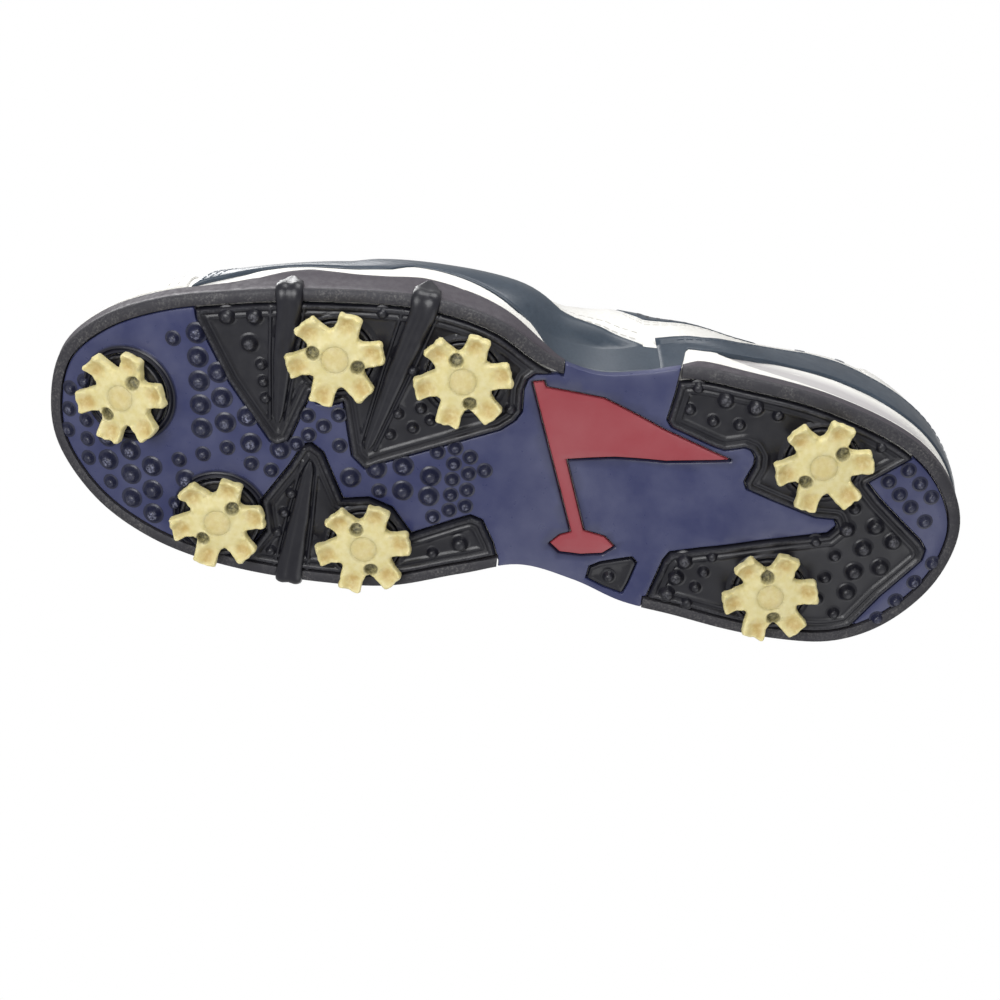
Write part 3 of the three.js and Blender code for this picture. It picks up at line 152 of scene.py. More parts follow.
SMALL_NUBS = {
    "plate": [
        ((6, -141), (-8.5, -141.5), 3), ((9.5, -136), (9.5, -136), 1), ((-3.5, -135), (-16.5, -134), 3),
        ((-23, -126), (-23, -126), 1), ((30, -106.5), (30, -106.5), 1), ((-10.5, -103), (-4, -87.5), 3),
        ((-26, -103.5), (-26, -103.5), 1), ((-8.5, -79.5), (-10, -73), 2), ((0, -65.5), (0, -65.5), 1),
        ((10, -62.5), (3.5, -61.8), 2), ((11.3, -52.7), (7, -57.2), 2), ((1, -51.7), (1, -51.7), 1),
        ((2.5, -20.5), (2.5, -20.5), 1), ((4.5, -15), (-17, -15), 5), ((2, -10), (-15, -10), 4),
        ((-2, -5), (-2, -5), 1), ((-20, -20), (-20, -20), 1), ((-13, -38), (-13, -38), 1),
        ((14, 128), (5.5, 137), 3), ((9.5, 122.5), (1.5, 131), 3), ((-3, 136.5), (-3, 136.5), 1),
        ((-17.5, 142), (-38.5, 127.5), 4),
    ],
    "insert": [
        ((25.5, -78), (14.5, -76), 3), ((46.5, -41.5), (46.5, -41.5), 1), ((29, -30.5), (29, -30.5), 1),
        ((7, -36), (14.3, -34), 2), ((10, -29), (16.8, -27), 2), ((13.2, -23.7), (13.2, -23.7), 1),
        ((19.8, 1), (19.8, 1), 1), ((-38, -71.5), (-17, -66), 4), ((-32.5, -19), (-32.5, -19), 1),
        ((33, 58.5), (25.5, 57), 2), ((23, 64.7), (23, 72.9), 2), ((27.7, 84.3), (27.7, 84.3), 1),
        ((21, 118), (21, 118), 1), ((-0.8, 113.5), (-0.8, 113.5), 1), ((-13.5, 103), (-17.8, 110), 2),
        ((-25.8, 108.2), (-33.7, 107), 2), ((-38, 113), (-38, 113), 1), ((-23, 71), (-40.5, 65.3), 4),
        ((-36, 39), (-36, 39), 1),
    ],
}

# Fins: side, tip, place where the edge is crossed, height of the end, width at the edge.
FINS = {
    "lateral_fins": [(1, (6.8, -71.8), -70.8, 18.0, 8.6), (1, (0.9, -43), -28.5, 18.5, 9.0)],
    "medial_fin": [(-1, (-5.3, -60.7), -65.2, 18.0, 8.8)],
}

# Heights along the sole: side wall of the rims, top of the midsole's stripe, mudguard and heel band.
LATERAL_WALL = [(-148, 14.5), (-110, 14.8), (-99, 14.8), (-90, 15.8), (-81, 18.3), (-73, 20.8), (-66, 21.9),
                (-59, 21.0), (-51, 20.0), (-41, 19.4), (-31, 20.0), (-21, 19.2), (-12, 18.0), (-5, 16.7),
                (8, 13.5), (17, 12.2), (50, 12), (56, 13), (80, 13.5), (149, 13.5)]
MEDIAL_WALL = [(-148, 14.5), (-110, 15.5), (-90, 18), (-70, 19), (-45, 18.5), (-25, 17.5),
               (-10, 14.5), (2, 12.2), (48, 12), (56, 13), (80, 13.5), (149, 13.5)]
LATERAL_STRIPE = [(-148, 18.3), (-110, 18.2), (-96, 18.8), (-88.5, 21.8), (-81.5, 25.6), (-74, 27.6),
                  (-67, 27.6), (-59, 26.6), (-51, 26.0), (-41, 26.2), (-35, 29.4), (-27, 28.2), (-19, 25.8),
                  (-11.5, 23.4), (-3.5, 21.0), (8, 17.8), (15, 17.3), (50, 22), (56, 24.5), (66, 25),
                  (80, 26.8), (103, 29), (116, 28.6), (149, 27.5)]
MEDIAL_STRIPE = [(-148, 18.3), (-110, 18.6), (-90, 20.5), (-60, 22.5), (-40, 23.5), (-22, 21.5),
                 (-8, 18), (2, 17.5), (48, 22), (56, 24.5), (66, 25), (80, 26.8), (103, 29), (116, 28.6),
                 (149, 27.5)]
GUARD_TOP = [(-100, 32), (-85, 37), (-60, 41), (-30, 42), (-10, 40.5), (-2, 39), (3, 35.5), (8, 32),
             (15, 29.8), (28, 27.6), (40, 25.3), (50, 22.5)]
BAND_TOP = [(44, 29), (60, 29.8), (71, 33.5), (83, 40), (95, 46), (106, 46.8), (117, 44.5), (149, 41)]
BAND_LOW = [(52, 23.6), (60, 23.2), (71, 24.8), (82, 26.8), (104, 29.4), (116, 28.8), (127, 26.5), (149, 26)]
TUCKED = -0.97          # v of a panel's low edge where it is tucked in behind the rim
PANEL_SLANT = -0.022    # how far the toe cap's seam leans forward at its foot, as a share
EYELET_SHARES = (0.385, 0.435, 0.485, 0.535, 0.585)
EYELET_V = 0.93


# ---------------------------------------------------------------------------------------------
# Properties that a user would change
# ---------------------------------------------------------------------------------------------
def to_linear(text):
    """Linear colour from an sRGB hex value."""
    values = [int(text[i:i + 2], 16) / 255 for i in (0, 2, 4)]
    return tuple(v / 12.92 if v <= 0.04045 else ((v + 0.055) / 1.055) ** 2.4 for v in values)


def colour_property(name, description, text):
    return FloatVectorProperty(name=name, description=description, subtype="COLOR", size=3, min=0, max=1,
                               default=to_linear(text))


class ShoeColours(PropertyGroup):
    plate: colour_property("Plate", "Navy moulded plate of the sole", "32375f")
    insert: colour_property("Inserts", "Black moulded inserts and pods", "12121a")
    rim: colour_property("Rims", "Charcoal rubber round the sole", "302f35")
    emblem: colour_property("Emblem", "Moulded badge in the waist of the sole", "9a3c45")
    cleat: colour_property("Cleats", "Aged cream cleats", "ddd092")
    foam: colour_property("Midsole", "White foam", "f4f3ee")
    white_leather: colour_property("White leather", "Coated white leather", "f0efec")
    navy_leather: colour_property("Navy leather", "Smooth navy leather", "3a4653")
    textile: colour_property("Lining", "Woven lining and footbed cover", "3c4455")
    metal: colour_property("Eyelets", "Lacquered metal of the eyelets", "a7a9ad")
    floor: colour_property("Floor", "Pale studio floor", "f2f2f2")


class ShoeSizes(PropertyGroup):
    nub: FloatProperty(name="Nub radius", description="Foot radius of a large nub", default=3.1 * MM,
                       unit="LENGTH", min=0.001, max=0.005)
    stitch: FloatProperty(name="Stitch", description="Length of one stitch", default=2.3 * MM,
                          unit="LENGTH", min=0.0005, max=0.006)
    thread: FloatProperty(name="Thread", description="Thickness of the sewing thread", default=0.55 * MM,
                          unit="LENGTH", min=0.0002, max=0.002)
    grain: FloatProperty(name="Leather grain", description="Width of one cell of the leather's grain",
                         default=0.9 * MM, unit="LENGTH", min=0.0002, max=0.004)


# ---------------------------------------------------------------------------------------------
# Shape of the sole and of the wall of the upper
# ---------------------------------------------------------------------------------------------
def smooth(x, low, high):
    t = np.clip((np.asarray(x, float) - low) / (high - low), 0, 1)
    return t * t * (3 - 2 * t)


def rise(y):
    """Height that the sole gains along its length: toe spring, arch and heel bevel."""
    y = np.asarray(y, float)
    toe = 14 * (np.clip(-86 - y, 0, None) / 62) ** 1.8
    arch = np.where((y > -5) & (y < 80), 2.25 * (1 - np.cos(2 * np.pi * (y + 5) / 85)), 0)
    return toe + arch + 3 * (np.clip(y - 125, 0, None) / 23) ** 2


def foot_level(y):
    return FOREFOOT_LEVEL + (HEEL_LEVEL - FOREFOOT_LEVEL) * smooth(y, -40, 60)


def along(table, y):
    """Value at a place from a table of (place, value) rows."""
    return np.interp(y, [p for p, _ in table], [v for _, v in table])


def lengths_along(path):
    """Length from the start of a path to each of its points."""
    return np.concatenate([[0], np.cumsum(np.linalg.norm(np.diff(path, axis=0), axis=-1))])


def points_at(path, lengths, places):
    """Points of a path at some lengths along it."""
    return np.stack([np.interp(places, lengths, column) for column in np.transpose(path)], -1)


def sole_table(samples=200):
    """Points and outward directions round the sole's edge: a centripetal spline through SOLE_POINTS."""
    points = np.array(SOLE_POINTS, float)
    count = len(points)
    t = np.linspace(0, 1, samples, endpoint=False)[:, None]
    pieces = []
    for i in range(count):
        p0, p1, p2, p3 = (points[(i + k) % count] for k in (-1, 0, 1, 2))
        d0, d1, d2 = (np.linalg.norm(b - a) ** 0.5 for a, b in ((p0, p1), (p1, p2), (p2, p3)))
        m1 = ((p1 - p0) / d0 - (p2 - p0) / (d0 + d1) + (p2 - p1) / d1) * d1
        m2 = ((p2 - p1) / d1 - (p3 - p1) / (d1 + d2) + (p3 - p2) / d2) * d1
        pieces.append(p1 + m1 * t + (3 * (p2 - p1) - 2 * m1 - m2) * t ** 2
                      + (2 * (p1 - p2) + m1 + m2) * t ** 3)
    curve = np.vstack(pieces + [points[:1]])
    length = lengths_along(curve)
    tangent = np.roll(curve[:-1], -1, axis=0) - np.roll(curve[:-1], 1, axis=0)
    tangent = np.vstack([tangent, tangent[:1]])
    tangent /= np.linalg.norm(tangent, axis=1)[:, None]
    return curve, tangent, length / length[-1], length[HEEL_INDEX * samples] / length[-1]


CURVE, TANGENT, SHARE, HEEL_SHARE = sole_table()


def sole_edge(side, q):
    """Point (x, y) and outward direction (nx, ny) of the sole's edge; q is 0 at the toe and 1 at the heel."""
    share = np.where(np.asarray(side) > 0, q * HEEL_SHARE, 1 - q * (1 - HEEL_SHARE)) % 1
    x, y, tx, ty = (np.interp(share, SHARE, column) for column in (*CURVE.T, *TANGENT.T))
    return x, y, ty, -tx


def station(key, q):
    """Smooth value of a station column: a cubic through the stations."""
    column = STATIONS[:, STATION_KEYS.index(key)]
    places = STATIONS[:, 0]
    last = len(places) - 1
    index = np.arange(last + 1)
    before, after = np.maximum(index - 1, 0), np.minimum(index + 1, last)
    slopes = (column[after] - column[before]) / (places[after] - places[before])
    i = np.searchsorted(places[1:-1], q, side="left")
    span = places[i + 1] - places[i]
    t = np.clip((q - places[i]) / span, 0, 1)
    return ((2 * t ** 3 - 3 * t ** 2 + 1) * column[i] + (t ** 3 - 2 * t ** 2 + t) * span * slopes[i]
            + (3 * t ** 2 - 2 * t ** 3) * column[i + 1] + (t ** 3 - t ** 2) * span * slopes[i + 1])


def wall(side, q, v):
    """Outer surface of the upper. v is -1 at the sole's edge, 0 at the foot of the wall, 1 at the top."""
    side, q, v = (np.asarray(a, float) for a in np.broadcast_arrays(side, q, v))
    s = np.where((q < 0) | (q > 1), -side, side)
    share = np.where(q < 0, -q, np.where(q > 1, 2 - q, q))
    x, y, nx, ny = sole_edge(s, share)
    level = foot_level(y) + rise(y)
    flare = np.where(s > 0, station("flareL", share), station("flareM", share))
    foot = np.stack([x + nx * flare, y + ny * flare, level], -1)
    tuck = station("tuck", share)
    sole = np.stack([x - nx * tuck, y - ny * tuck, FOAM_BOTTOM + rise(y)], -1)
    half = np.where(share <= THROAT_Q, 0, np.maximum(0, station("half", share)))
    top = np.stack([station("centre", share) + s * half, station("topY", share), station("topZ", share)], -1)
    outward = np.stack([x - top[..., 0], y - top[..., 1]], -1)
    outward /= np.linalg.norm(outward, axis=-1)[..., None]
    out = np.where(s > 0, station("outL", share), station("outM", share))
    first = foot + np.stack([nx * out, ny * out, station("up", share)], -1)
    reach = station("outTop", share)
    second = top + np.stack([outward[..., 0] * reach, outward[..., 1] * reach, station("upTop", share)], -1)
    below = foot + (sole - foot) * np.clip(-v, 0, None)[..., None]
    t = np.clip(v, 0, None)[..., None]
    w = 1 - t
    above = w ** 3 * foot + 3 * w * w * t * first + 3 * w * t * t * second + t ** 3 * top
    return np.where(v[..., None] < 0, below, above)


def wall_normal(side, q, v):
    step = 0.004
    run = wall(side, q + step, v) - wall(side, q - step, v)
    climb = wall(side, q, v + step) - wall(side, q, v - step)
    normal = np.cross(run, climb) * np.asarray(side, float)[..., None]
    return normal / np.maximum(np.linalg.norm(normal, axis=-1), 1e-12)[..., None]


def wall_point(side, q, v, depth):
    """Point at a depth below the outer surface. Ahead of the throat both sides share one normal on top."""
    side, q, v, depth = (np.asarray(a, float) for a in np.broadcast_arrays(side, q, v, depth))
    normal = wall_normal(side, q, v)
    shared = smooth(v, 0.75, 1) * smooth(-q, -THROAT_Q - 0.015, -THROAT_Q)
    normal = normal + wall_normal(-side, q, v) * shared[..., None]
    normal /= np.linalg.norm(normal, axis=-1)[..., None]
    return wall(side, q, v) - normal * depth[..., None]


def height_on_wall(side, q, height):
    """The v at which the outer surface reaches a height."""
    q, height = (np.asarray(a, float) for a in np.broadcast_arrays(q, height))
    low, high = np.full(q.shape, -1.0), np.ones(q.shape)
    for _ in range(22):
        middle = (low + high) / 2
        under = wall(side, q, middle)[..., 2] < height
        low, high = np.where(under, middle, low), np.where(under, high, middle)
    return (low + high) / 2


def share_at(side, y):
    """Share of the half outline at which the sole's edge reaches a place along the sole."""
    shares = np.linspace(0.02, 0.98, 900)
    return float(np.interp(y, sole_edge(side, shares)[1], shares))


def wall_top(side, y):
    return np.where(np.asarray(side) > 0, along(LATERAL_WALL, y), along(MEDIAL_WALL, y)) + rise(y)


def stripe_top(side, y):
    stripe = np.where(np.asarray(side) > 0, along(LATERAL_STRIPE, y), along(MEDIAL_STRIPE, y))
    return np.maximum(stripe, foot_level(y) + 0.4) + rise(y)


def columns(start, end, step=1 / 150):
    """Columns round the wall: positions run from 1 (heel, lateral) through 0 (toe) to -1 (heel, medial)."""
    positions = np.linspace(start, end, max(2, int(round(abs(end - start) / step)) + 1))
    wrapped = np.where(positions > 1, positions - 2, positions)
    return np.where(wrapped >= 0, 1.0, -1.0), np.abs(wrapped)


def columns_on(side, start, end):
    return columns(start, end) if side > 0 else columns(-end, -start)


# ---------------------------------------------------------------------------------------------
# Meshes
# ---------------------------------------------------------------------------------------------
def place(points):
    """The frame's metres from the sole's millimetres."""
    return (np.asarray(points, float) + SHIFT) * MM


def piece(name, points, faces, material, body="shoe", replaces=(), sharp=38, marks=None):
    """A named piece that rides on a body, from points in millimetres. marks are values kept per point."""
    mesh = bpy.data.meshes.new(name)
    mesh.from_pydata(place(points).tolist(), [], faces)
    for key, values in (marks or {}).items():
        attribute = mesh.attributes.new(key, "FLOAT", "POINT")
        attribute.data.foreach_set("value", np.asarray(values, np.float32))
    mesh.shade_smooth()
    mesh.set_sharp_from_angle(angle=math.radians(sharp))
    mesh.materials.append(material)
    obj = bpy.data.objects.new(name, mesh)
    bpy.context.scene.collection.objects.link(obj)
    if signed_volume(mesh) < 0:
        mesh.flip_normals()
    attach(obj, body)
    if replaces:
        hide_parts(*replaces)
    return obj


def signed_volume(mesh):
    mesh.calc_loop_triangles()
    corners = np.empty(len(mesh.loop_triangles) * 3, np.int32)
    mesh.loop_triangles.foreach_get("vertices", corners)
    co = np.empty(len(mesh.vertices) * 3, np.float32)
    mesh.vertices.foreach_get("co", co)
    a, b, c = co.reshape(-1, 3)[corners].reshape(-1, 3, 3).transpose(1, 0, 2)
    return float(np.einsum("ij,ij->i", a, np.cross(b, c)).sum())


def grid_faces(rows, cols, close_rows=False, close_cols=False, start=0):
    """Quads of a grid of points numbered row by row."""
    faces = []
    for i in range(rows if close_rows else rows - 1):
        for j in range(cols if close_cols else cols - 1):
            k, m = (i + 1) % rows, (j + 1) % cols
            faces.append(tuple(start + a * cols + b for a, b in ((i, j), (i, m), (k, m), (k, j))))
    return faces


def sweep(rings, joined=False):
    """Closed body through rings of points, one row each: its points and faces."""
    rings = np.asarray(rings, float)
    count, size = rings.shape[:2]
    faces = grid_faces(count, size, close_rows=joined, close_cols=True)
    if not joined:
        faces.append(tuple(range(size)))
        faces.append(tuple(range(count * size - 1, (count - 1) * size - 1, -1)))
    return rings.reshape(-1, 3), faces


def sheet(outside, inside):
    """Closed body between two grids of points."""
    rows, cols = outside.shape[:2]
    count = rows * cols
    faces = grid_faces(rows, cols)
    faces += [tuple(i + count for i in reversed(face)) for face in faces]
    border = ([i * cols for i in range(rows)] + [(rows - 1) * cols + j for j in range(1, cols)]
              + [i * cols + cols - 1 for i in range(rows - 2, -1, -1)] + list(range(cols - 2, 0, -1)))
    faces += [(a, b, b + count, a + count) for a, b in zip(border, border[1:] + border[:1])]
    return np.concatenate([outside.reshape(-1, 3), inside.reshape(-1, 3)]), faces


def weld(obj, reach):
    """Joins the points that coincide where two ends or two halves of a piece meet."""
    modifier = obj.modifiers.new("weld", "WELD")
    modifier.merge_threshold = reach * MM


def merge(parts):
    """One list of points and faces from several."""
    points, faces, offset = [], [], 0
    for part_points, part_faces in parts:
        points.append(np.asarray(part_points, float))
        faces.extend(tuple(i + offset for i in face) for face in part_faces)
        offset += len(part_points)
    return np.vstack(points), faces


def turned(profile, sides=32):
    """Points and faces of a piece turned about +Z from (radius, height) pairs that end on the axis."""
    angles = 2 * np.pi * np.arange(sides) / sides
    rings = [[(r * math.cos(a), r * math.sin(a), z) for a in angles] for r, z in profile[1:-1]]
    points = [(0, 0, profile[0][1])] + [p for ring in rings for p in ring] + [(0, 0, profile[-1][1])]
    faces = grid_faces(len(rings), sides, close_cols=True, start=1)
    last = len(points) - 1
    for i in range(sides):
        k = (i + 1) % sides
        faces.append((0, 1 + k, 1 + i))
        faces.append((last, last - sides + i, last - sides + k))
    return np.array(points), faces


def distance(points, outline):
    """Distance from each point to a closed outline, negative inside."""
    points = np.asarray(points, float)[:, :2]
    corners = np.asarray(outline, float)
    best = np.full(len(points), np.inf)
    inside = np.zeros(len(points), bool)
    for a, b in zip(corners, np.roll(corners, -1, axis=0)):
        edge = b - a
        t = np.clip((points - a) @ edge / max(edge @ edge, 1e-12), 0, 1)
        best = np.minimum(best, ((points - a - t[:, None] * edge) ** 2).sum(1))
        if a[1] != b[1]:
            crossing = (a[1] > points[:, 1]) != (b[1] > points[:, 1])
            inside ^= crossing & (points[:, 0] < a[0] + (points[:, 1] - a[1]) / (b[1] - a[1]) * edge[0])
    return np.where(inside, -1, 1) * np.sqrt(best)


def contour(field, xs, ys, level):
    """Points and edges of the line where a sampled field has a level."""
    values = field - level
    ids, points, cells = {}, [], {}
    for axis in (0, 1):
        a = values[:-1, :] if axis == 0 else values[:, :-1]
        b = values[1:, :] if axis == 0 else values[:, 1:]
        for i, j in zip(*np.nonzero((a > 0) != (b > 0))):
            t = a[i, j] / (a[i, j] - b[i, j])
            x = xs[i] + (t * (xs[i + 1] - xs[i]) if axis == 0 else 0)
            y = ys[j] + (t * (ys[j + 1] - ys[j]) if axis == 1 else 0)
            ids[(axis, i, j)] = len(points)
            points.append((x, y))
            for cell in ((i, j), (i, j - 1) if axis == 0 else (i - 1, j)):
                cells.setdefault(cell, []).append(len(points) - 1)
    edges = []
    for found in cells.values():
        if len(found) == 2:
            edges.append(tuple(found))
        elif len(found) == 4:
            order = sorted(found, key=lambda k: points[k])
            edges.extend([(order[0], order[1]), (order[2], order[3])])
    return points, edges


def relief(region, creases, face, back, spacing=3.0, step=0.6, extent=None, follow=rise):
    """Points and faces of a moulded piece: flat triangles over a region, drawn to heights face(points).

    region is a signed distance, negative inside. creases are (field, levels) along which the face bends.
    """
    (x0, y0), (x1, y1) = extent
    xs, ys = np.arange(x0, x1 + step, step), np.arange(y0, y1 + step, step)
    gx, gy = np.meshgrid(xs, ys, indexing="ij")
    samples = np.stack([gx.ravel(), gy.ravel()], -1)
    inside = region(samples)
    points, edges, near = [], [], np.full(len(samples), np.inf)
    for field, levels in [(None, [0.0]), *creases]:
        values = inside if field is None else field(samples)
        for level in levels:
            near = np.minimum(near, np.abs(values - level))
            found, links = contour(values.reshape(gx.shape), xs, ys, level)
            edges.extend((a + len(points), b + len(points)) for a, b in links)
            points.extend(found)
    stride = max(1, int(round(spacing / step)))
    column, row = np.divmod(np.arange(len(samples)), len(ys))
    offset = (column // stride % 2) * (stride // 2)
    fill = (column % stride == 0) & ((row + offset) % stride == 0) & (inside < -0.6) & (near > 0.8)
    points.extend(map(tuple, samples[fill]))
    flat, _, triangles, *_ = delaunay_2d_cdt([Vector(p) for p in points], edges, [], 0, 1e-4)
    flat = np.array([tuple(p) for p in flat])
    triangles = np.array([t for t in triangles if len(t) == 3])
    middles = flat[triangles].mean(axis=1)
    triangles = triangles[region(middles) < 0]
    used, triangles = np.unique(triangles, return_inverse=True)
    triangles = triangles.reshape(-1, 3)
    flat = flat[used]
    lift = follow(flat[:, 1])
    low = np.column_stack([flat, face(flat) + lift])
    top = np.column_stack([flat, back(flat) + lift])
    count = len(flat)
    sides = {}
    for a, b, c in triangles.tolist():
        for edge in ((a, b), (b, c), (c, a)):
            sides[edge] = True
    walls = [(b, a, a + count, b + count) for a, b in sides if (b, a) not in sides]
    faces = [tuple(t) for t in triangles.tolist()]
    faces += [tuple(i + count for i in reversed(t)) for t in triangles.tolist()]
    return np.vstack([low, top]), faces + walls


def circle(x, y):
    return lambda points: np.hypot(points[:, 0] - x, points[:, 1] - y)


# ---------------------------------------------------------------------------------------------
# Materials
# ---------------------------------------------------------------------------------------------
def add(tree, kind, inputs=None, output=0, **settings):
    """Adds a node with its settings and links and returns one of its outputs, or the node if it has none."""
    node = tree.nodes.new("ShaderNode" + kind)
    for key, value in settings.items():
        setattr(node, key, value)
    for key, value in (inputs or {}).items():
        if isinstance(value, bpy.types.NodeSocket):
            tree.links.new(value, node.inputs[key])
        else:
            node.inputs[key].default_value = value
    return node.outputs[output] if node.outputs else node


def new_material(name, roughness, colour, sockets=None):
    """A material, its tree and its shader. Values that are the same all over stand on the shader itself."""
    material = bpy.data.materials.new(name)
    material.use_nodes = True
    material.diffuse_color = (*colour, 1)
    tree = material.node_tree
    tree.nodes.clear()
    surface = add(tree, "BsdfPrincipled", {"Roughness": roughness, "Base Color": (*colour, 1),
                                           "Coat Roughness": 0.25, **(sockets or {})})
    add(tree, "OutputMaterial", {"Surface": surface}).is_active_output = True
    return material, tree, surface.node


def mix(colour, other, share):
    return tuple(a + (b - a) * share for a, b in zip(colour, other))


def pattern(tree, width, detail=3, spread=(), roughness=0.5):
    """Cloudy pattern with features a width in mm across. spread takes two values to 0 and 1, or two more."""
    spot = add(tree, "TexCoord", output="Object")
    value = add(tree, "TexNoise", {"Vector": spot, "Scale": 1 / (width * MM), "Detail": detail,
                                   "Roughness": roughness})
    return add(tree, "MapRange", dict(enumerate([value, *spread]))) if spread else value


def product(tree, *factors):
    """Product of numbers, sockets and marks, which are the names of values kept per point."""
    result = None
    for factor in factors:
        if isinstance(factor, str):
            factor = add(tree, "Attribute", output="Fac", attribute_name=factor)
        result = factor if result is None else add(tree, "Math", {0: result, 1: factor}, operation="MULTIPLY")
    return result


def layers(tree, colour, *coats):
    """Colours laid over each other: each coat is its colour and the factors of its share."""
    under = (*colour, 1)
    for over, *factors in coats:
        under = add(tree, "Mix", {0: product(tree, *factors), 6: under, 7: (*over, 1)}, 2, data_type="RGBA")
    return under


def dress(shader, colour, roughness, height, strength, depth):
    """Gives a shader its patterns. The bump's depth is in millimetres."""
    tree = shader.id_data
    bump = add(tree, "Bump", {"Height": height, "Strength": strength, "Distance": depth * MM})
    for key, socket in (("Base Color", colour), ("Roughness", roughness), ("Normal", bump)):
        if socket:
            tree.links.new(socket, shader.inputs[key])


def moulded_tpu(name, colour, worn, roughness, dust_and_sheen):
    """Polyurethane moulded in a polished tool: glossy, with lighter cloudy patches of dust and painted sheen,
    a near-black coat where marked, and rubbed high spots.
    """
    material, tree, shader = new_material(name, roughness, colour, {"IOR": 1.5, "Coat Weight": 0.15})
    rubbed = product(tree, "wear", pattern(tree, 0.7, 2, (0.45, 0.75)))
    rough = pattern(tree, 3, 3, (0.3, 0.7, roughness - 0.07, roughness + 0.08))
    # Lighter cloudy patches mixed towards the worn colour: partly dust, partly a painted sheen.
    colours = layers(tree, colour, (mix(colour, worn, 0.35), pattern(tree, 14, 4, (0.35, 0.7)), dust_and_sheen),
                     # Near-black coat by a per-point mark: a painted shade or dark reflection on some pieces,
                     # a darker tone on others.
                     (to_linear("15151f"), "shade"), (worn, rubbed))
    rough = add(tree, "Math", {0: rough, 1: rubbed}, operation="ADD")
    dress(shader, colours, rough, pattern(tree, 0.6), 0.25, 0.06)
    return material


def rim_rubber(name, colour):
    """Carbon-filled rubber, moulded and walked on: matt, scuffed grey below, smoother on the side wall."""
    material, tree, shader = new_material(name, 0.6, colour, {"IOR": 1.52})
    scuffs = pattern(tree, 0.8, 5, (0.48, 0.75), 0.7)
    colours = layers(tree, colour, (to_linear("474249"), "side"),
                     (to_linear("84827f"), scuffs, pattern(tree, 9, 2, (0.35, 0.7)), "wear"))
    dress(shader, colours, pattern(tree, 2, 3, (0.3, 0.7, 0.5, 0.72)), pattern(tree, 0.5, 4), 0.45, 0.12)
    return material


def cleat_tpu(name, colour):
    """Clear TPU that has yellowed: waxy cream; tan in the scoops and the hub, partly lodged soil and partly a
    painted shade; dark in the holes.
    """
    material, tree, shader = new_material(name, 0.5, colour, {
        "IOR": 1.5, "Subsurface Weight": 0.05, "Subsurface Scale": 0.5,
        "Subsurface Radius": (0.004, 0.003, 0.0015)})
    colours = layers(tree, colour, (to_linear("e6dcaa"), pattern(tree, 2.2, 4, (0.35, 0.7))),
                     # Tan in the scoops and the hub: partly soil, partly a painted shade of the hollows.
                     (to_linear("c2a766"), "scoop", pattern(tree, 2.4, 4, (0.3, 0.62, 0.25, 1.0), 0.6)),
                     (to_linear("59563f"), "soil", pattern(tree, 0.9, 4, (0.3, 0.6, 0.45, 1.0), 0.7)))
    dress(shader, colours, pattern(tree, 1.5, 3, (0.3, 0.7, 0.42, 0.62)), pattern(tree, 0.9, 4), 0.4, 0.18)
    return material


def foam(name, colour):
    """EVA foam, pressed in a mould: a closed matt skin with a very fine grain, greyer in the scoop."""
    material, tree, shader = new_material(name, 0.62, colour, {"IOR": 1.45})
    colours = layers(tree, colour, (to_linear("e6e2d8"), pattern(tree, 9, 3, (0.4, 0.75)), 0.35),
                     (to_linear("c6c3c3"), "scoop"))
    dress(shader, colours, None, pattern(tree, 0.45), 0.3, 0.06)
    return material


def leather(name, colour, soiled, grain, roughness, depth):
    """Full-grain leather under a pigmented coat: rounded cells with soft creases, and a satin shine."""
    material, tree, shader = new_material(name, roughness, colour, {"IOR": 1.5, "Coat Weight": 0.12})
    spot = add(tree, "TexCoord", output="Object")
    warp = add(tree, "TexNoise", {"Vector": spot, "Scale": 180.0, "Detail": 2.0}, 1)
    bent = add(tree, "Mix", {0: 0.0025, 4: spot, 5: warp}, 1, data_type="VECTOR")
    cells = add(tree, "TexVoronoi", {"Vector": bent, "Scale": 1 / grain, "Smoothness": 0.5},
                feature="SMOOTH_F1")
    creases = add(tree, "MapRange", {0: cells, 1: 0.3, 2: 0.9})
    colours = layers(tree, colour, (soiled, pattern(tree, 22, 4, (0.35, 0.75)), 0.5), (soiled, creases, 0.3))
    height = add(tree, "Math", {0: cells, 1: pattern(tree, 5, 4)}, operation="SUBTRACT")
    rough = pattern(tree, 5, 3, (0.3, 0.7, roughness - 0.06, roughness + 0.08))
    dress(shader, colours, rough, height, -0.35, depth)
    return material


def woven(name, colour, other, pitch):
    """Polyester cloth, plain woven. Threads are drawn about twice their real 0.5 mm so that they show."""
    material, tree, shader = new_material(name, 0.85, colour, {"Sheen Weight": 0.3})
    waves = [add(tree, "Math", {0: product(tree, mark, math.pi / pitch)}, operation="SINE")
             for mark in ("run", "climb")]
    weave = product(tree, *waves)
    over = add(tree, "MapRange", {0: weave, 1: -0.6, 2: 0.6})
    dress(shader, layers(tree, colour, (other, over)), None,
          add(tree, "Math", {0: weave}, operation="ABSOLUTE"), 0.6, 0.25)
    return material


def thread(name, colour):
    """Bonded polyester sewing thread: twisted plies with a dry shine."""
    material, tree, shader = new_material(name, 0.55, colour, {"Sheen Weight": 0.2})
    spot = add(tree, "TexCoord", output="Object")
    plies = add(tree, "TexWave", {"Vector": spot, "Scale": 900.0}, "Fac", bands_direction="DIAGONAL")
    colours = layers(tree, colour, (mix(colour, (0.2, 0.2, 0.2), 0.5), plies, 0.35))
    dress(shader, colours, None, plies, 0.4, 0.08)
    return material


def lacquered_metal(name, colour):
    """Brass eyelet stock, plated and lacquered grey: satin, with fine turning marks."""
    material, tree, shader = new_material(name, 0.32, colour, {"Metallic": 1.0})
    dress(shader, None, pattern(tree, 0.5, 2, (0.3, 0.7, 0.24, 0.42)), pattern(tree, 0.25, 2), 0.15, 0.03)
    return material


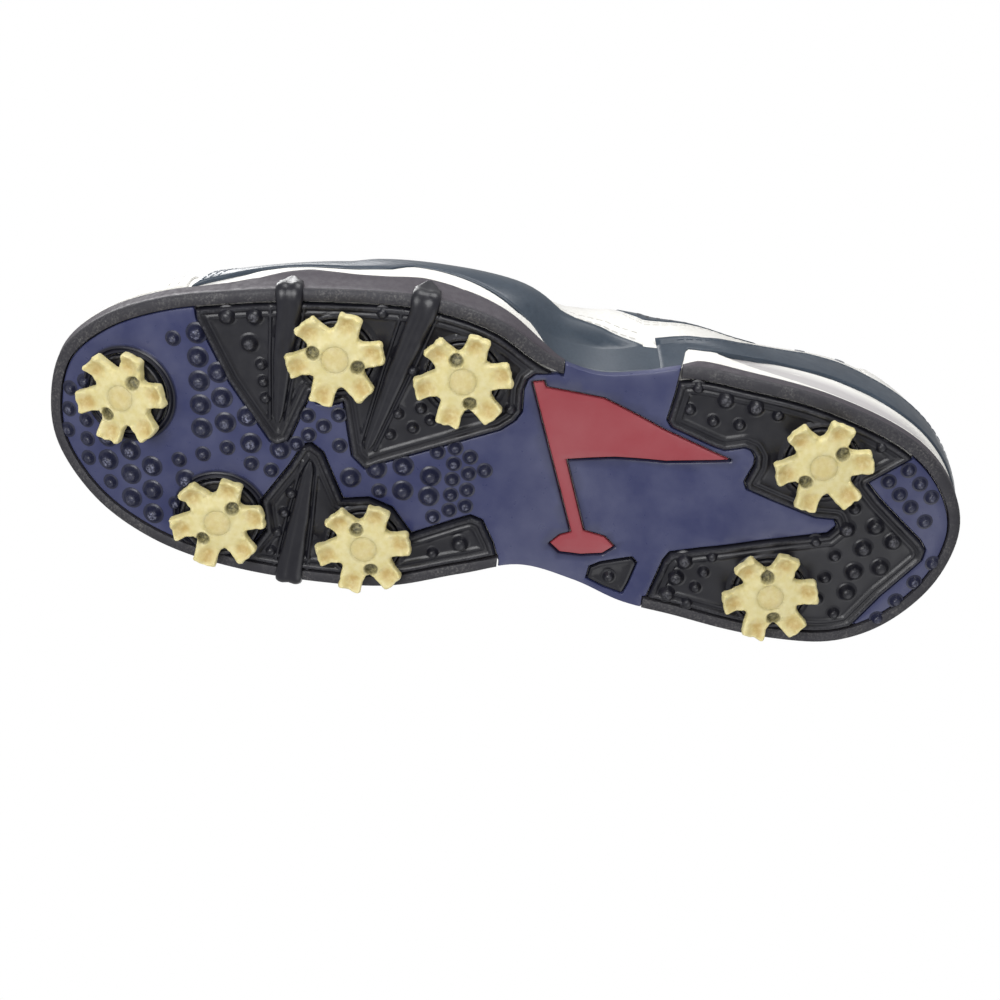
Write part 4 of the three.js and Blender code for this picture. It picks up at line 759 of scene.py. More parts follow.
def inner_board(name, colour, other, roughness, width, metallic=0.0):
    """A stiff inner layer, pressed or rolled: dull, with the flecks of its fibres or its scale."""
    material, tree, shader = new_material(name, roughness, colour, {"Metallic": metallic})
    flecks = pattern(tree, width, 3, (0.4, 0.65))
    dress(shader, layers(tree, colour, (other, flecks)), None, pattern(tree, width), 0.3, 0.1)
    return material


def finishes(scene):
    """All materials by key. Each is made once, when first asked for, and then shared."""
    chosen = scene.shoe_colours
    c = SimpleNamespace(**{key: tuple(getattr(chosen, key)) for key in ShoeColours.__annotations__})
    grain = scene.shoe_sizes.grain
    recipes = {
        # Navy TPU, injection moulded: a deep colour under a soft gloss, with lighter cloudy patches of dust
        # and painted sheen.
        "plate_tpu": ("navy_tpu_moulded", moulded_tpu, c.plate, to_linear("8b8ea6"), 0.34, 0.45),
        # Black TPU, injection moulded: greyer where the ground rubs its ribs, with faint patches of dust and
        # painted sheen.
        "insert_tpu": ("black_tpu_moulded", moulded_tpu, c.insert, to_linear("66666e"), 0.36, 0.22),
        # Red TPU, moulded and set into the sole: flat, with chalky patches of dust and painted sheen.
        "emblem_tpu": ("red_tpu_moulded", moulded_tpu, c.emblem, to_linear("bd7f83"), 0.42, 0.35),
        "rim_rubber": ("charcoal_rubber_moulded", rim_rubber, c.rim),
        "cleat_tpu": ("aged_tpu_moulded", cleat_tpu, c.cleat),
        "midsole_foam": ("eva_foam_moulded", foam, c.foam),
        # Cowhide, chrome tanned and coated white: bright, faintly warm and creased.
        "white_leather": ("white_leather_coated", leather, c.white_leather, to_linear("d8d5cd"), grain,
                          0.42, 0.12),
        # Cowhide, coated navy and polished: darker in its creases, with a broad soft highlight.
        "navy_leather": ("navy_leather_polished", leather, c.navy_leather, to_linear("222b37"), grain,
                         0.36, 0.1),
        # Lining cloth, woven: dark, with paler crossings.
        "lining_textile": ("lining_polyester_woven", woven, c.textile,
                           mix(c.textile, (0.3, 0.32, 0.36), 0.35), 1.0),
        # Footbed cover, woven more coarsely: greyer than the lining.
        "footbed": ("footbed_knit_woven", woven, mix(c.textile, (0.3, 0.3, 0.3), 0.4),
                    mix(c.textile, (0.5, 0.5, 0.5), 0.5), 1.4),
        "eyelet_metal": ("eyelet_metal_lacquered", lacquered_metal, c.metal),
        "white_thread": ("white_thread_twisted", thread, to_linear("dedcd6")),
        "navy_thread": ("navy_thread_twisted", thread, to_linear("3a4757")),
        # Cellulose board, pressed: tan, with darker fibres.
        "board_fibre": ("cellulose_board_pressed", inner_board, to_linear("b9a98c"), to_linear("9b8b6f"),
                        0.9, 1.2),
        # Spring steel, rolled: grey and half bright.
        "shank_steel": ("spring_steel_rolled", inner_board, to_linear("9b9ea3"), to_linear("85888d"),
                        0.4, 0.8, 1.0),
        # Thermoplastic sheet, formed warm: grey and dull.
        "stiffener_plastic": ("thermoplastic_sheet_formed", inner_board, to_linear("8b8d92"),
                              to_linear("76787d"), 0.7, 1.5),
    }
    return {key: bpy.data.materials.get(name) or make(name, *values)
            for key, (name, make, *values) in recipes.items()}


# ---------------------------------------------------------------------------------------------
# The sole
# ---------------------------------------------------------------------------------------------
def inner_edge_distance(points, inset):
    """Distance to the sole's edge moved inwards, negative inside."""
    return distance(points, CURVE[:-1:24]) + inset


def rim_zone(points):
    """Where the rims lie: ahead of the waist and behind it."""
    x, y = points[:, 0], points[:, 1]
    front = np.where(x > 0, y - 16.3, y - 2.2)
    rear = np.where(x > 0, 53 - y, 51 - y)
    return np.minimum(front, rear)


def plate_region(points):
    edge = inner_edge_distance(points, 0)
    waist = np.maximum(edge, -rim_zone(points))
    return np.minimum(edge + RIM_WIDTH + GAP, waist)


# Height of an insert's face over the distance from its border: two ribs with a channel between them.
BORDER = [(0, 8.3), (0.3, 7.1), (0.7, 6.65), (1.3, 6.6), (1.7, 6.85), (2.2, 7.35), (2.7, 7.3), (3.1, 6.95),
          (3.7, 6.95), (4.3, 7.5), (5.0, 7.6)]
LIP = [(0, 8.7), (0.25, 8.15), (0.7, 8.0)]


class SHOE_OT_outsole_plate(Operator):
    """Makes the navy plate of the sole with the pockets for its inserts, pods and badge"""
    bl_idname = "shoe.outsole_plate"
    bl_label = "Outsole plate"

    def execute(self, context):
        pockets = [LATERAL_INSERT, MEDIAL_INSERT, HEEL_INSERT, WAIST_PAD, EMBLEM]
        pods = [(x, y, pod) for _, x, y, _, pod in CLEATS]

        def region(points):
            field = plate_region(points)
            for outline in pockets:
                field = np.maximum(field, GAP - distance(points, outline))
            for x, y, pod in pods:
                field = np.maximum(field, pod + GAP - circle(x, y)(points))
            return field

        rings = [(circle(x, y), [pod + 0.8, pod + 1.5, pod + 2.1, pod + 2.6, pod + 3.2])
                 for x, y, pod in pods if pod == POD_WIDE]

        def face(points):
            height = along(LIP, -region(points))
            for x, y, pod in pods:
                if pod == POD_WIDE:
                    r = circle(x, y)(points) - pod
                    height -= np.interp(r, [0.3, 0.8, 1.5, 2.1, 2.6, 3.2], [1.0, 1.25, 0.5, 1.05, 0.9, 0])
            return height

        points, faces = relief(region, [(region, [-0.25, -0.7]), *rings], face,
                               lambda p: np.full(len(p), PLATE_BACK), extent=((-53, -149), (54, 150)))
        flat = points[:, :2]
        # Near-black coat on the plate: a painted shadow along the badge's edge, and a near-black band round
        # the wide pods.
        shade = 0.55 * (1 - smooth(distance(flat, EMBLEM), 0.5, 1.6))
        for x, y, pod in pods:
            if pod == POD_WIDE:
                shade = np.maximum(shade, 0.95 * (1 - smooth(circle(x, y)(flat) - pod, 2.6, 3.3)))
        piece("outsole_plate_moulded", points, faces, finishes(context.scene)["plate_tpu"],
              replaces=["outsole_plate"], marks={"shade": shade})
        return {"FINISHED"}


class SHOE_OT_inserts(Operator):
    """Makes the black inserts with their raised borders and the rings round the pods"""
    bl_idname = "shoe.inserts"
    bl_label = "Inserts"

    def execute(self, context):
        black = finishes(context.scene)["insert_tpu"]
        jobs = [
            ("lateral_insert_moulded", "lateral_forefoot_insert", LATERAL_INSERT, ((-8, -103), (53, 18))),
            ("medial_insert_moulded", "medial_forefoot_insert", MEDIAL_INSERT, ((-50, -89), (2, 4))),
            ("heel_insert_moulded", "heel_insert", HEEL_INSERT, ((-51, 49), (41, 149))),
        ]
        for name, node, outline, extent in jobs:
            pods = [(x, y) for _, x, y, _, pod in CLEATS if pod == POD
                    and distance([(x, y)], outline)[0] < 0]

            fins = [fin for group in FINS.values() for fin in group if distance([fin[1]], outline)[0] < 1]

            def flank(points, fins=fins):
                """Distance from the nearest fin's side, measured across it."""
                best = np.full(len(points), 20.0)
                for side, tip, edge_y, _, width in fins:
                    end = np.array(sole_edge(side, share_at(side, edge_y))[:2], float)
                    axis = end - np.array(tip)
                    length = np.linalg.norm(axis)
                    axis /= length
                    away = points[:, :2] - np.array(tip)
                    run = away @ axis
                    off = np.abs(away[:, 0] * axis[1] - away[:, 1] * axis[0])
                    half = width / 2 * np.interp(run / length, [0, 0.5, 0.9], [0.3, 0.72, 0.95])
                    best = np.minimum(best, np.where((run > 0.5) & (run < length), off - half, 20.0))
                return best

            def border(points, outline=outline):
                return np.maximum(distance(points, outline), inner_edge_distance(points, RIM_WIDTH + 2 * GAP))

            def region(points, pods=pods, border=border):
                field = border(points)
                for x, y in pods:
                    field = np.maximum(field, POD + GAP - circle(x, y)(points))
                return field

            def face(points, pods=pods, border=border):
                height = along(BORDER, -border(points))
                height = np.minimum(height, np.interp(flank(points), [0.2, 0.5, 0.9, 1.4, 1.9, 2.4],
                                                      [9, 7.35, 6.85, 6.85, 7.4, 9]))
                for x, y in pods:
                    r = circle(x, y)(points) - POD
                    ring = np.interp(r, [0.3, 0.6, 1.3, 1.9, 2.6, 3.2], [6.9, 6.5, 6.5, 7.0, 7.6, 9])
                    height = np.minimum(height, ring)
                return height

            creases = [(border, [-a for a, _ in BORDER[1:]]), (flank, [0.5, 0.9, 1.4, 1.9])]
            creases += [(circle(x, y), [POD + a for a in (0.6, 1.3, 1.9, 2.6)]) for x, y in pods]
            points, faces = relief(region, creases, face, lambda p: np.full(len(p), INSERT_BACK),
                                   extent=extent)
            wear = np.clip((6.9 - (points[:, 2] - rise(points[:, 1]))) / 0.3, 0, 1) * 0.3
            piece(name, points, faces, black, replaces=[node], marks={"wear": wear})
        return {"FINISHED"}


class SHOE_OT_emblem_and_pad(Operator):
    """Makes the red pennant badge and the small black pad in the waist of the sole"""
    bl_idname = "shoe.emblem_and_pad"
    bl_label = "Badge and waist pad"

    def execute(self, context):
        made = finishes(context.scene)
        for name, node, outline, key, heights in [
            ("emblem_moulded", "sole_emblem", EMBLEM, "emblem_tpu", [(0, 9.0), (0.3, 8.35), (0.9, 8.15)]),
            ("waist_pad_moulded", "waist_pad", WAIST_PAD, "insert_tpu",
             [(0, 8.6), (0.35, 7.7), (0.9, 7.5), (1.6, 7.5), (2.1, 7.8)]),
        ]:
            xs, ys = zip(*outline)
            points, faces = relief(
                lambda p, o=outline: distance(p, o),
                [(lambda p, o=outline: distance(p, o), [-a for a, _ in heights[1:]])],
                lambda p, o=outline, h=heights: along(h, -distance(p, o)),
                lambda p: np.full(len(p), INSERT_BACK), step=0.4, spacing=2.0,
                extent=((min(xs) - 1, min(ys) - 1), (max(xs) + 1, max(ys) + 1)))
            piece(name, points, faces, made[key], replaces=[node])
        return {"FINISHED"}


def nub_profile(foot, tip, height):
    """A nub with a flared foot and a rounded tip, pointing down."""
    steps = [(0, 0.5), (foot + 0.5, 0.5), (foot + 0.45, -0.02), (foot * 0.93, -0.18), (foot * 0.84, -0.5)]
    for t in (0.2, 0.4, 0.6, 0.78):
        steps.append((foot * 0.84 + (tip * 1.12 - foot * 0.84) * t ** 0.9, -0.5 - (height - 0.75) * t))
    return steps + [(tip, -height * 0.9), (tip * 0.72, -height * 0.98), (0, -height)]


def nub_rows(rows):
    for first, last, count in rows:
        for t in np.linspace(0, 1, count) if count > 1 else [0.0]:
            yield first[0] + (last[0] - first[0]) * t, first[1] + (last[1] - first[1]) * t


class SHOE_OT_nubs(Operator):
    """Moulds the large and small nubs of the plate and of the inserts, some with a worn tip"""
    bl_idname = "shoe.nubs"
    bl_label = "Nubs"

    def execute(self, context):
        rng = np.random.default_rng(SEED)
        made = finishes(context.scene)
        foot = context.scene.shoe_sizes.nub / MM
        for place_name, face, key in (("plate", PLATE_FACE, "plate_tpu"), ("insert", 7.6, "insert_tpu")):
            parts, wear = [], []
            for rows, shape in ((LARGE_NUBS, (foot, 1.4, 2.9)), (SMALL_NUBS, (foot * 0.7, 1.0, 2.1))):
                points, faces = turned(nub_profile(*shape), 24)
                for x, y in nub_rows(rows[place_name]):
                    slope = float(rise(y + 1) - rise(y - 1)) / 2
                    moved = points + (x, y, face + float(rise(y)))
                    moved[:, 2] += slope * points[:, 1]
                    parts.append((moved, faces))
                    worn = rng.random() ** 1.5 * (1.3 if shape[0] == foot else 0.8)
                    wear.append(np.clip((-points[:, 2] / shape[2] - 0.82) / 0.12, 0, 1) * worn)
            points, faces = merge(parts)
            # Every nub gets the near-black coat: a painted dark reflection, strong on the plate's nubs and
            # faint on the inserts'.
            shade = np.full(len(points), 0.72 if place_name == "plate" else 0.3)
            piece(f"{place_name}_nubs", points, faces, made[key],
                  marks={"wear": np.concatenate(wear), "shade": shade})
        return {"FINISHED"}


def fin_rings(side, tip, edge_y, top_z, width):
    """Rings of a rounded rib that runs from its tip under the rim and up its side wall."""
    q = share_at(side, edge_y)
    ex, ey, nx, ny = (float(a) for a in sole_edge(side, q))

    def outside(z):
        v = height_on_wall(side, q, z)
        return wall_point(side, q, v, -2 * GAP - RIM_WALL)

    under = 7.05
    path = np.array([
        (tip[0], tip[1], under), ((tip[0] + ex) / 2, (tip[1] + ey) / 2, under),
        (ex - nx * 5, ey - ny * 5, under), (ex - nx, ey - ny, under),
        (ex + nx * 0.55, ey + ny * 0.55, RIM_FACE + 1.0), outside(FOAM_BOTTOM + 2),
        outside((FOAM_BOTTOM + top_z) / 2), outside(top_z)], float)
    scale = np.array([0.3, 0.72, 0.95, 1, 1, 0.94, 0.85, 0.45])
    lengths = lengths_along(path)
    places = np.unique(np.concatenate([np.linspace(0, lengths[-1], 26), lengths]))
    centres = points_at(path, lengths, places)
    for _ in range(2):
        centres[1:-1] = (centres[:-2] + 2 * centres[1:-1] + centres[2:]) / 4
    sizes = np.interp(places, lengths, scale)
    across = np.array([-ny, nx, 0.0])
    rings = []
    for i, centre in enumerate(centres):
        forward = centres[min(i + 1, len(centres) - 1)] - centres[max(i - 1, 0)]
        outward = np.cross(across, forward / np.linalg.norm(forward))
        if outward[2] > 0 or outward[0] * side < -0.5:
            outward = -outward
        ends = smooth(places[i], 0, 3) * smooth(-places[i], -lengths[-1], -lengths[-1] + 5)
        thick = 1 - 0.45 * smooth(places[i], lengths[4], lengths[5])
        ring = []
        for angle in np.linspace(0, math.pi, 15):
            x, z = math.cos(angle), math.sin(angle) ** 0.7
            dish = 0.3 * math.exp(-(x / 0.35) ** 2)
            ring.append(centre + across * x * width * sizes[i] / 2 * (0.35 + 0.65 * ends)
                        + outward * (z - dish) * 2.0 * thick * sizes[i] * (0.15 + 0.85 * ends))
        ring.append(centre - across * width * sizes[i] / 4 - outward * 0.3)
        ring.append(centre + across * width * sizes[i] / 4 - outward * 0.3)
        rings.append(ring)
    return rings


class SHOE_OT_fins(Operator):
    """Makes the rounded fins that run out over the rim and up its side wall"""
    bl_idname = "shoe.fins"
    bl_label = "Fins"

    def execute(self, context):
        black = finishes(context.scene)["insert_tpu"]
        for name, fins in FINS.items():
            points, faces = merge([sweep(fin_rings(*fin)) for fin in fins])
            piece(name, points, faces, black, sharp=50,
                  marks={"shade": np.full(len(points), 0.5)})
        return {"FINISHED"}


# The bead of a rim: how far inside the sole's edge and how high, from the plate round to the side wall.
RIM_BEAD = [(RIM_WIDTH, 8.0), (RIM_WIDTH - 0.15, 7.55), (RIM_WIDTH - 0.5, 7.4), (2.2, 7.3), (1.2, 7.35),
            (0.45, 7.65), (0.0, 8.2), (-0.2, 8.9), (-0.15, 9.6), (0.1, 10.3)]


def rim_section(side, q, ends):
    """Section of a rim: worn sole edge, rounded bead, then a thin wall up to its wavy top."""
    x, y, nx, ny = sole_edge(side, q)
    top = wall_top(side, y)
    low = FOAM_BOTTOM + rise(y)

    def at(inwards, z):
        py = y - ny * inwards * ends
        return np.stack([x - nx * inwards, py, z + rise(py)], -1)

    def on_wall(share, depth):
        v = height_on_wall(side, q, low + (top - low) * share)
        return wall_point(side, q, v, depth)

    out = -GAP - RIM_WALL * (0.15 + 0.85 * ends)
    section = [at(inwards, z) for inwards, z in RIM_BEAD]
    section += [on_wall(s, out - 0.05) for s in (0.12, 0.3, 0.5, 0.7, 0.86, 0.94)]
    section += [on_wall(0.985, out + 0.2), on_wall(1, out + 0.6), on_wall(1, -GAP)]
    section += [on_wall(0.5, -GAP), on_wall(0.1, -GAP)]
    inner = station("tuck", q) - GAP - 0.1
    return np.stack(section + [at(inner, PLATE_BACK), at(RIM_WIDTH, PLATE_BACK)], 1)


class SHOE_OT_rims(Operator):
    """Makes the charcoal rims of the forefoot and the heel"""
    bl_idname = "shoe.rims"
    bl_label = "Rims"

    def execute(self, context):
        rubber = finishes(context.scene)["rim_rubber"]
        spans = {
            "forefoot_rim": (-share_at(-1, 2.1), share_at(1, 16.2)),
            "heel_rim": (share_at(1, 53.1), 2 - share_at(-1, 51.1)),
        }
        for node, (start, end) in spans.items():
            side, q = columns(start, end)
            place_along = np.linspace(0, 1, len(q))
            rings = rim_section(side, q, smooth(np.minimum(place_along, 1 - place_along), 0, 0.025))
            size = rings.shape[1]
            points, faces = sweep(rings)
            worn = np.tile(np.array([0.5, 0.9, 1, 1, 1, 1, 0.8, 0.5, 0.25] + [0.0] * (size - 9)), len(rings))
            walls = np.tile(np.array([0.0] * 7 + [0.3, 0.7] + [1.0] * (size - 9)), len(rings))
            piece(f"{node}_moulded", points, faces, rubber, replaces=[node],
                  marks={"wear": worn * 0.8, "side": walls})
        return {"FINISHED"}


# ---------------------------------------------------------------------------------------------
# Cleats
# ---------------------------------------------------------------------------------------------
ARM_CORNERS = [(-30, 9.4), (-27, 9.7), (-17, 13.2), (-14.5, 15.2), (-12, 15.75), (0, 15.35), (12.5, 15.5),
               (15, 14.9), (17.5, 11.9), (23, 9.9)]
FIRST_ARM = 15.0


def cleat_outline():
    spots = []
    for arm in range(6):
        for turn, radius in ARM_CORNERS:
            angle = math.radians(FIRST_ARM + 60 * arm + turn)
            spots.append((radius * math.sin(angle), radius * math.cos(angle)))
    return spots


def cleat_body(wrench):
    """Points, faces and marks of one cleat about its axis, with its seat at z = 0."""
    outline = cleat_outline()
    angle = math.radians(wrench)
    holes = [(way * WRENCH_REACH * math.sin(angle), way * WRENCH_REACH * math.cos(angle)) for way in (-1, 1)]

    def region(points):
        """The outline, nicked and worn a little differently all round."""
        turn = np.arctan2(points[:, 0], points[:, 1])
        nicks = (0.16 * np.sin(9 * turn + wrench) + 0.12 * np.sin(23 * turn + 2 * wrench)
                 + 0.07 * np.sin(41 * turn))
        return distance(points, outline) + 0.08 + nicks * smooth(np.hypot(points[:, 0], points[:, 1]), 10, 14)

    def arm_place(points):
        r = np.hypot(points[:, 0], points[:, 1])
        turn = np.degrees(np.arctan2(points[:, 0], points[:, 1])) - FIRST_ARM
        turn = (turn + 30) % 60 - 30
        return r, r * np.sin(np.radians(turn))

    def scoop(points):
        """Share of a scoop: an oval hollow near the tip of each arm."""
        r, b = arm_place(points)
        return 1 - smooth(np.hypot((r - 12.2) / 3.9, (b - 0.5) / 3.7), 0.35, 1.0)

    def face(points):
        r = arm_place(points)[0]
        height = np.interp(r, [0, 3.6, 4.0, 4.5, 4.9, 6.5, 9.4, 12, 14.2, 15.0, 15.8],
                           [1.3, 1.35, 1.75, 1.7, 1.3, 1.6, 2.2, 1.35, 0.12, 0.12, 0.7])
        height += 1.15 * scoop(points) * smooth(r, 8.6, 11)
        height += 0.9 * np.clip(1 + region(points) / 0.7, 0, 1) ** 2
        height += 0.25 * np.sin(1.9 * points[:, 0] + wrench) * np.sin(1.7 * points[:, 1]) * smooth(r, 5, 9)
        for x, y in holes:
            d = circle(x, y)(points)
            height += np.interp(d, [0, 0.6, 1.0, 1.75, 2.1, 2.7], [1.6, 1.9, 2.2, 2.2, 0.1, 0])
            height -= 0.35 * np.exp(-((d - 2.6) / 0.35) ** 2)
        return height - PLATE_FACE

    def back(points):
        r = np.hypot(points[:, 0], points[:, 1])
        return np.interp(r, [0, 9.2, 15.8], [5.6, 5.6, 3.3]) - PLATE_FACE

    creases = [(region, [-0.2, -0.5, -0.8]), (circle(0, 0), [3.6, 4.2, 4.9, 9.4, 14.0, 15.0])]
    creases += [(circle(x, y), [1.0, 1.75, 2.1, 2.6]) for x, y in holes]
    points, faces = relief(region, creases, face, back, spacing=1.0, step=0.33,
                           extent=((-16.4, -16.4), (16.4, 16.4)), follow=np.zeros_like)
    soil = np.zeros(len(points))
    for x, y in holes:
        soil = np.maximum(soil, 1 - smooth(circle(x, y)(points), 1.6, 2.7))
    hub = np.hypot(points[:, 0], points[:, 1])
    ring = np.exp(-((hub - 4.2) / 0.6) ** 2) * 0.3
    # The tan mark: scoops and hub, partly soil and partly a painted shade of the hollows.
    tan = np.maximum(scoop(points) * smooth(-region(points), 0.2, 1.3), 0.42 * (1 - smooth(hub, 3.2, 4.6)))
    lower = np.arange(len(points)) < len(points) // 2
    return points, faces, {"scoop": tan * lower, "soil": np.maximum(soil, ring) * lower}


def seat_matrix(x, y):
    """Turn and place of a cleat's seat: only the toe's is tilted."""
    slope = float(rise(y + 1) - rise(y - 1)) / 2
    tilted = abs(slope) > 0.1
    turn = Matrix.Rotation(math.atan(slope) if tilted else 0, 3, "X")
    return np.array(turn), np.array([x, y, PLATE_FACE + (float(rise(y)) if tilted else 0)])


class SHOE_OT_cleats(Operator):
    """Makes the cleats: six scooped arms round a hub with a ring and two wrench holes"""
    bl_idname = "shoe.cleats"
    bl_label = "Cleats"

    def execute(self, context):
        material = finishes(context.scene)["cleat_tpu"]
        for name, x, y, wrench, _ in CLEATS:
            points, faces, marks = cleat_body(wrench)
            turn, seat = seat_matrix(x, y)
            piece(f"cleat_{name}_moulded", points @ turn.T + seat, faces, material, body=f"cleat_{name}_unit",
                  replaces=[f"cleat_{name}"], sharp=45, marks=marks)
        return {"FINISHED"}


class SHOE_OT_receptacles(Operator):
    """Makes the pods that the cleats turn in: a lip, a groove and a barrel up into the sole"""
    bl_idname = "shoe.receptacles"
    bl_label = "Pods"

    def execute(self, context):
        material = finishes(context.scene)["insert_tpu"]
        for name, x, y, _, pod in CLEATS:
            heights = [(0, 9.9), (4.6, 9.9), (4.6, 6.75), (5.0, 6.6), (pod - 4.2, 6.6), (pod - 3.9, 6.85),
                       (pod - 3.3, 6.85), (pod - 3.0, 6.55), (pod - 1.5, 6.55), (pod - 1.2, 6.2),
                       (pod - 0.9, 6.05), (pod - 0.45, 6.0), (pod - 0.15, 6.15), (pod, 6.6), (pod, 8.4),
                       (8, 8.4), (8, 10.6), (0, 10.6)]
            points, faces = turned([(r, z - PLATE_FACE) for r, z in heights], 72)
            turn, seat = seat_matrix(x, y)
            wear = np.clip((6.15 - PLATE_FACE - points[:, 2]) / 0.15, 0, 1) * 0.6
            piece(f"pod_{name}", points @ turn.T + seat, faces, material, replaces=[f"receptacle_{name}"],
                  marks={"wear": wear})
        return {"FINISHED"}


# ---------------------------------------------------------------------------------------------
# Midsole and upper
# ---------------------------------------------------------------------------------------------
def scoop_share(side, y, z):
    """The shallow hollow in the heel's side walls, fading out towards its ends."""
    middle = np.interp(y, [62, 100, 140], [24.5, 22.5, 21.5])
    half = 4.6 * np.sqrt(np.clip(1 - ((y - 100) / 38) ** 2, 0, None)) + 1e-6
    return np.clip(1 - smooth(np.abs(z - rise(y) - middle) / half, 0.55, 1.0), 0, 1) * (half > 0.2)


class SHOE_OT_midsole(Operator):
    """Makes the white foam midsole with its wavy stripe and the hollow in the heel's walls"""
    bl_idname = "shoe.midsole"
    bl_label = "Midsole"

    def execute(self, context):
        count = 160
        halves = []
        for side in (1.0, -1.0):
            q = np.linspace(0, 1, count + 1)
            y = sole_edge(side, q)[1]
            top_v = height_on_wall(side, q, stripe_top(side, y))
            bed_v = height_on_wall(side, q, foot_level(y) + rise(y))
            rows = []
            for t in np.linspace(0, 1, 26):
                v = -1 + (top_v + 1) * t
                surface = wall(side, q, v)
                share = scoop_share(side, surface[:, 1], surface[:, 2])
                roll = 0.5 * smooth(t, 0.94, 1)
                rows.append(wall_point(side, q, v, 1.3 * share + roll))
            rows.append(wall_point(side, q, top_v, 1.2))
            inner = wall_point(side, q, bed_v, 1.4)
            inner[:, 2] = foot_level(inner[:, 1]) + rise(inner[:, 1])
            rows.append(inner)
            halves.append(np.stack(rows, 1))
        lateral, medial = halves
        size = lateral.shape[1]
        rings = np.concatenate([lateral, medial[:, ::-1]], axis=1)
        points = rings.reshape(-1, 3)
        faces = grid_faces(count + 1, 2 * size, close_cols=True)
        share = scoop_share(1, points[:, 1], points[:, 2])
        edge = np.abs(points[:, 0] + 6) > 18
        obj = piece("midsole_moulded", points, faces, finishes(context.scene)["midsole_foam"],
                    replaces=["midsole"], marks={"scoop": share * edge})
        weld(obj, 0.02)
        return {"FINISHED"}


def edge_steps(length, rows):
    """Shares from one edge to the other, closer together where the edges are rounded."""
    near = np.array([0, 0.12, 0.35, 0.7, 1.2]) / length
    return np.concatenate([near, np.linspace(near[-1], 1 - near[-1], rows + 1)[1:-1], 1 - near[::-1]])


def rounding(d, radius):
    """How far a rounded edge falls away at a distance from the edge."""
    d = np.clip(d, 0, radius)
    return radius - np.sqrt(np.clip(radius ** 2 - (radius - d) ** 2, 0, None))


def panel_mesh(side, q, low, high, outer, inner, rows, soft=0.5, round_ends=True, lie=None, lean=None,
               ridge=False):
    """Points, faces and surface places of a thin sewn panel over a run of columns.

    outer and inner are depths below the wall, and lie(q, v) adds to both. lean moves the low edge of each
    column along the wall, so that an end can slant. A ridge has its two halves joined along the top, so
    that edge stays unrounded.
    """
    outer, inner, low, high = (np.broadcast_to(value, q.shape) for value in (outer, inner, low, high))
    lengths = np.linalg.norm(wall(side, q, high) - wall(side, q, low), axis=-1)
    steps = edge_steps(max(4.0, float(np.median(lengths))), rows)
    run = lengths_along(wall(side, q, (low + high) / 2))
    v = low[:, None] + (high - low)[:, None] * steps
    u = np.broadcast_to(q[:, None], v.shape)
    if lean is not None:
        u = u + lean[:, None] * (1 - steps)
    d = (steps if ridge else np.minimum(steps, 1 - steps)) * lengths[:, None]
    if round_ends:
        d = np.minimum(d, np.minimum(run, run[-1] - run)[:, None])
    more = lie(u, v) if lie else 0.0
    points, faces = sheet(wall_point(side[:, None], u, v, outer[:, None] + rounding(d, soft) + more),
                          wall_point(side[:, None], u, v, inner[:, None] + more))
    return points, faces, {"run": np.tile(np.repeat(run, len(steps)), 2),
                           "climb": np.tile((steps * lengths[:, None]).ravel(), 2)}


def bed_line(side, q, over=3.0):
    y = sole_edge(side, q)[1]
    return height_on_wall(side, q, foot_level(y) + rise(y) + over)


def stripe_line(side, q, over=0.35):
    y = sole_edge(side, q)[1]
    return height_on_wall(side, q, stripe_top(side, y) + over)


def guard_top(side, q, over=0.0):
    y = sole_edge(side, q)[1]
    return height_on_wall(side, q, along(GUARD_TOP, y) + rise(y) + over)


def guard_low(side, q):
    y = sole_edge(side, q)[1]
    low = stripe_line(side, q)
    return low + (TUCKED - low) * smooth(y, 0, 16)


def band_line(side, q, table, over=0.0):
    y = sole_edge(side, q)[1]
    return height_on_wall(side, q, along(table, y) + 0.4 * rise(y) + over)


def stitches(name, paths, material, sizes):
    """Rows of stitches along paths of points on the surface, each path with the surface's normals."""
    length, radius = sizes.stitch / MM, sizes.thread / MM / 2
    pitch = length * 1.3
    shape = [(0, -length / 2), (radius * 0.8, -length / 2 + 0.12), (radius, -length / 2 + 0.4),
             (radius, length / 2 - 0.4), (radius * 0.8, length / 2 - 0.12), (0, length / 2)]
    bead, bead_faces = turned(shape, 6)
    parts = []
    for points, normals in paths:
        total = lengths_along(points)
        for spot in np.arange(pitch / 2, total[-1], pitch):
            centre = points_at(points, total, spot)
            normal = points_at(normals, total, spot)
            axis = points_at(points, total, spot + 0.5) - centre
            if np.linalg.norm(axis) < 1e-6:
                continue
            axis /= np.linalg.norm(axis)
            normal -= axis * (normal @ axis)
            normal /= np.linalg.norm(normal)
            turn = np.stack([normal, np.cross(axis, normal), axis], 1)
            parts.append((bead @ turn.T + centre - normal * radius * 0.35, bead_faces))
    points, faces = merge(parts)
    return piece(name, points, faces, material, sharp=60)


def seam(side, q, v, depth=0.0):
    """A path on the wall with its normals."""
    side, q, v = np.broadcast_arrays(side, q, v)
    return wall_point(side, q, v, depth), wall_normal(side, q, v)


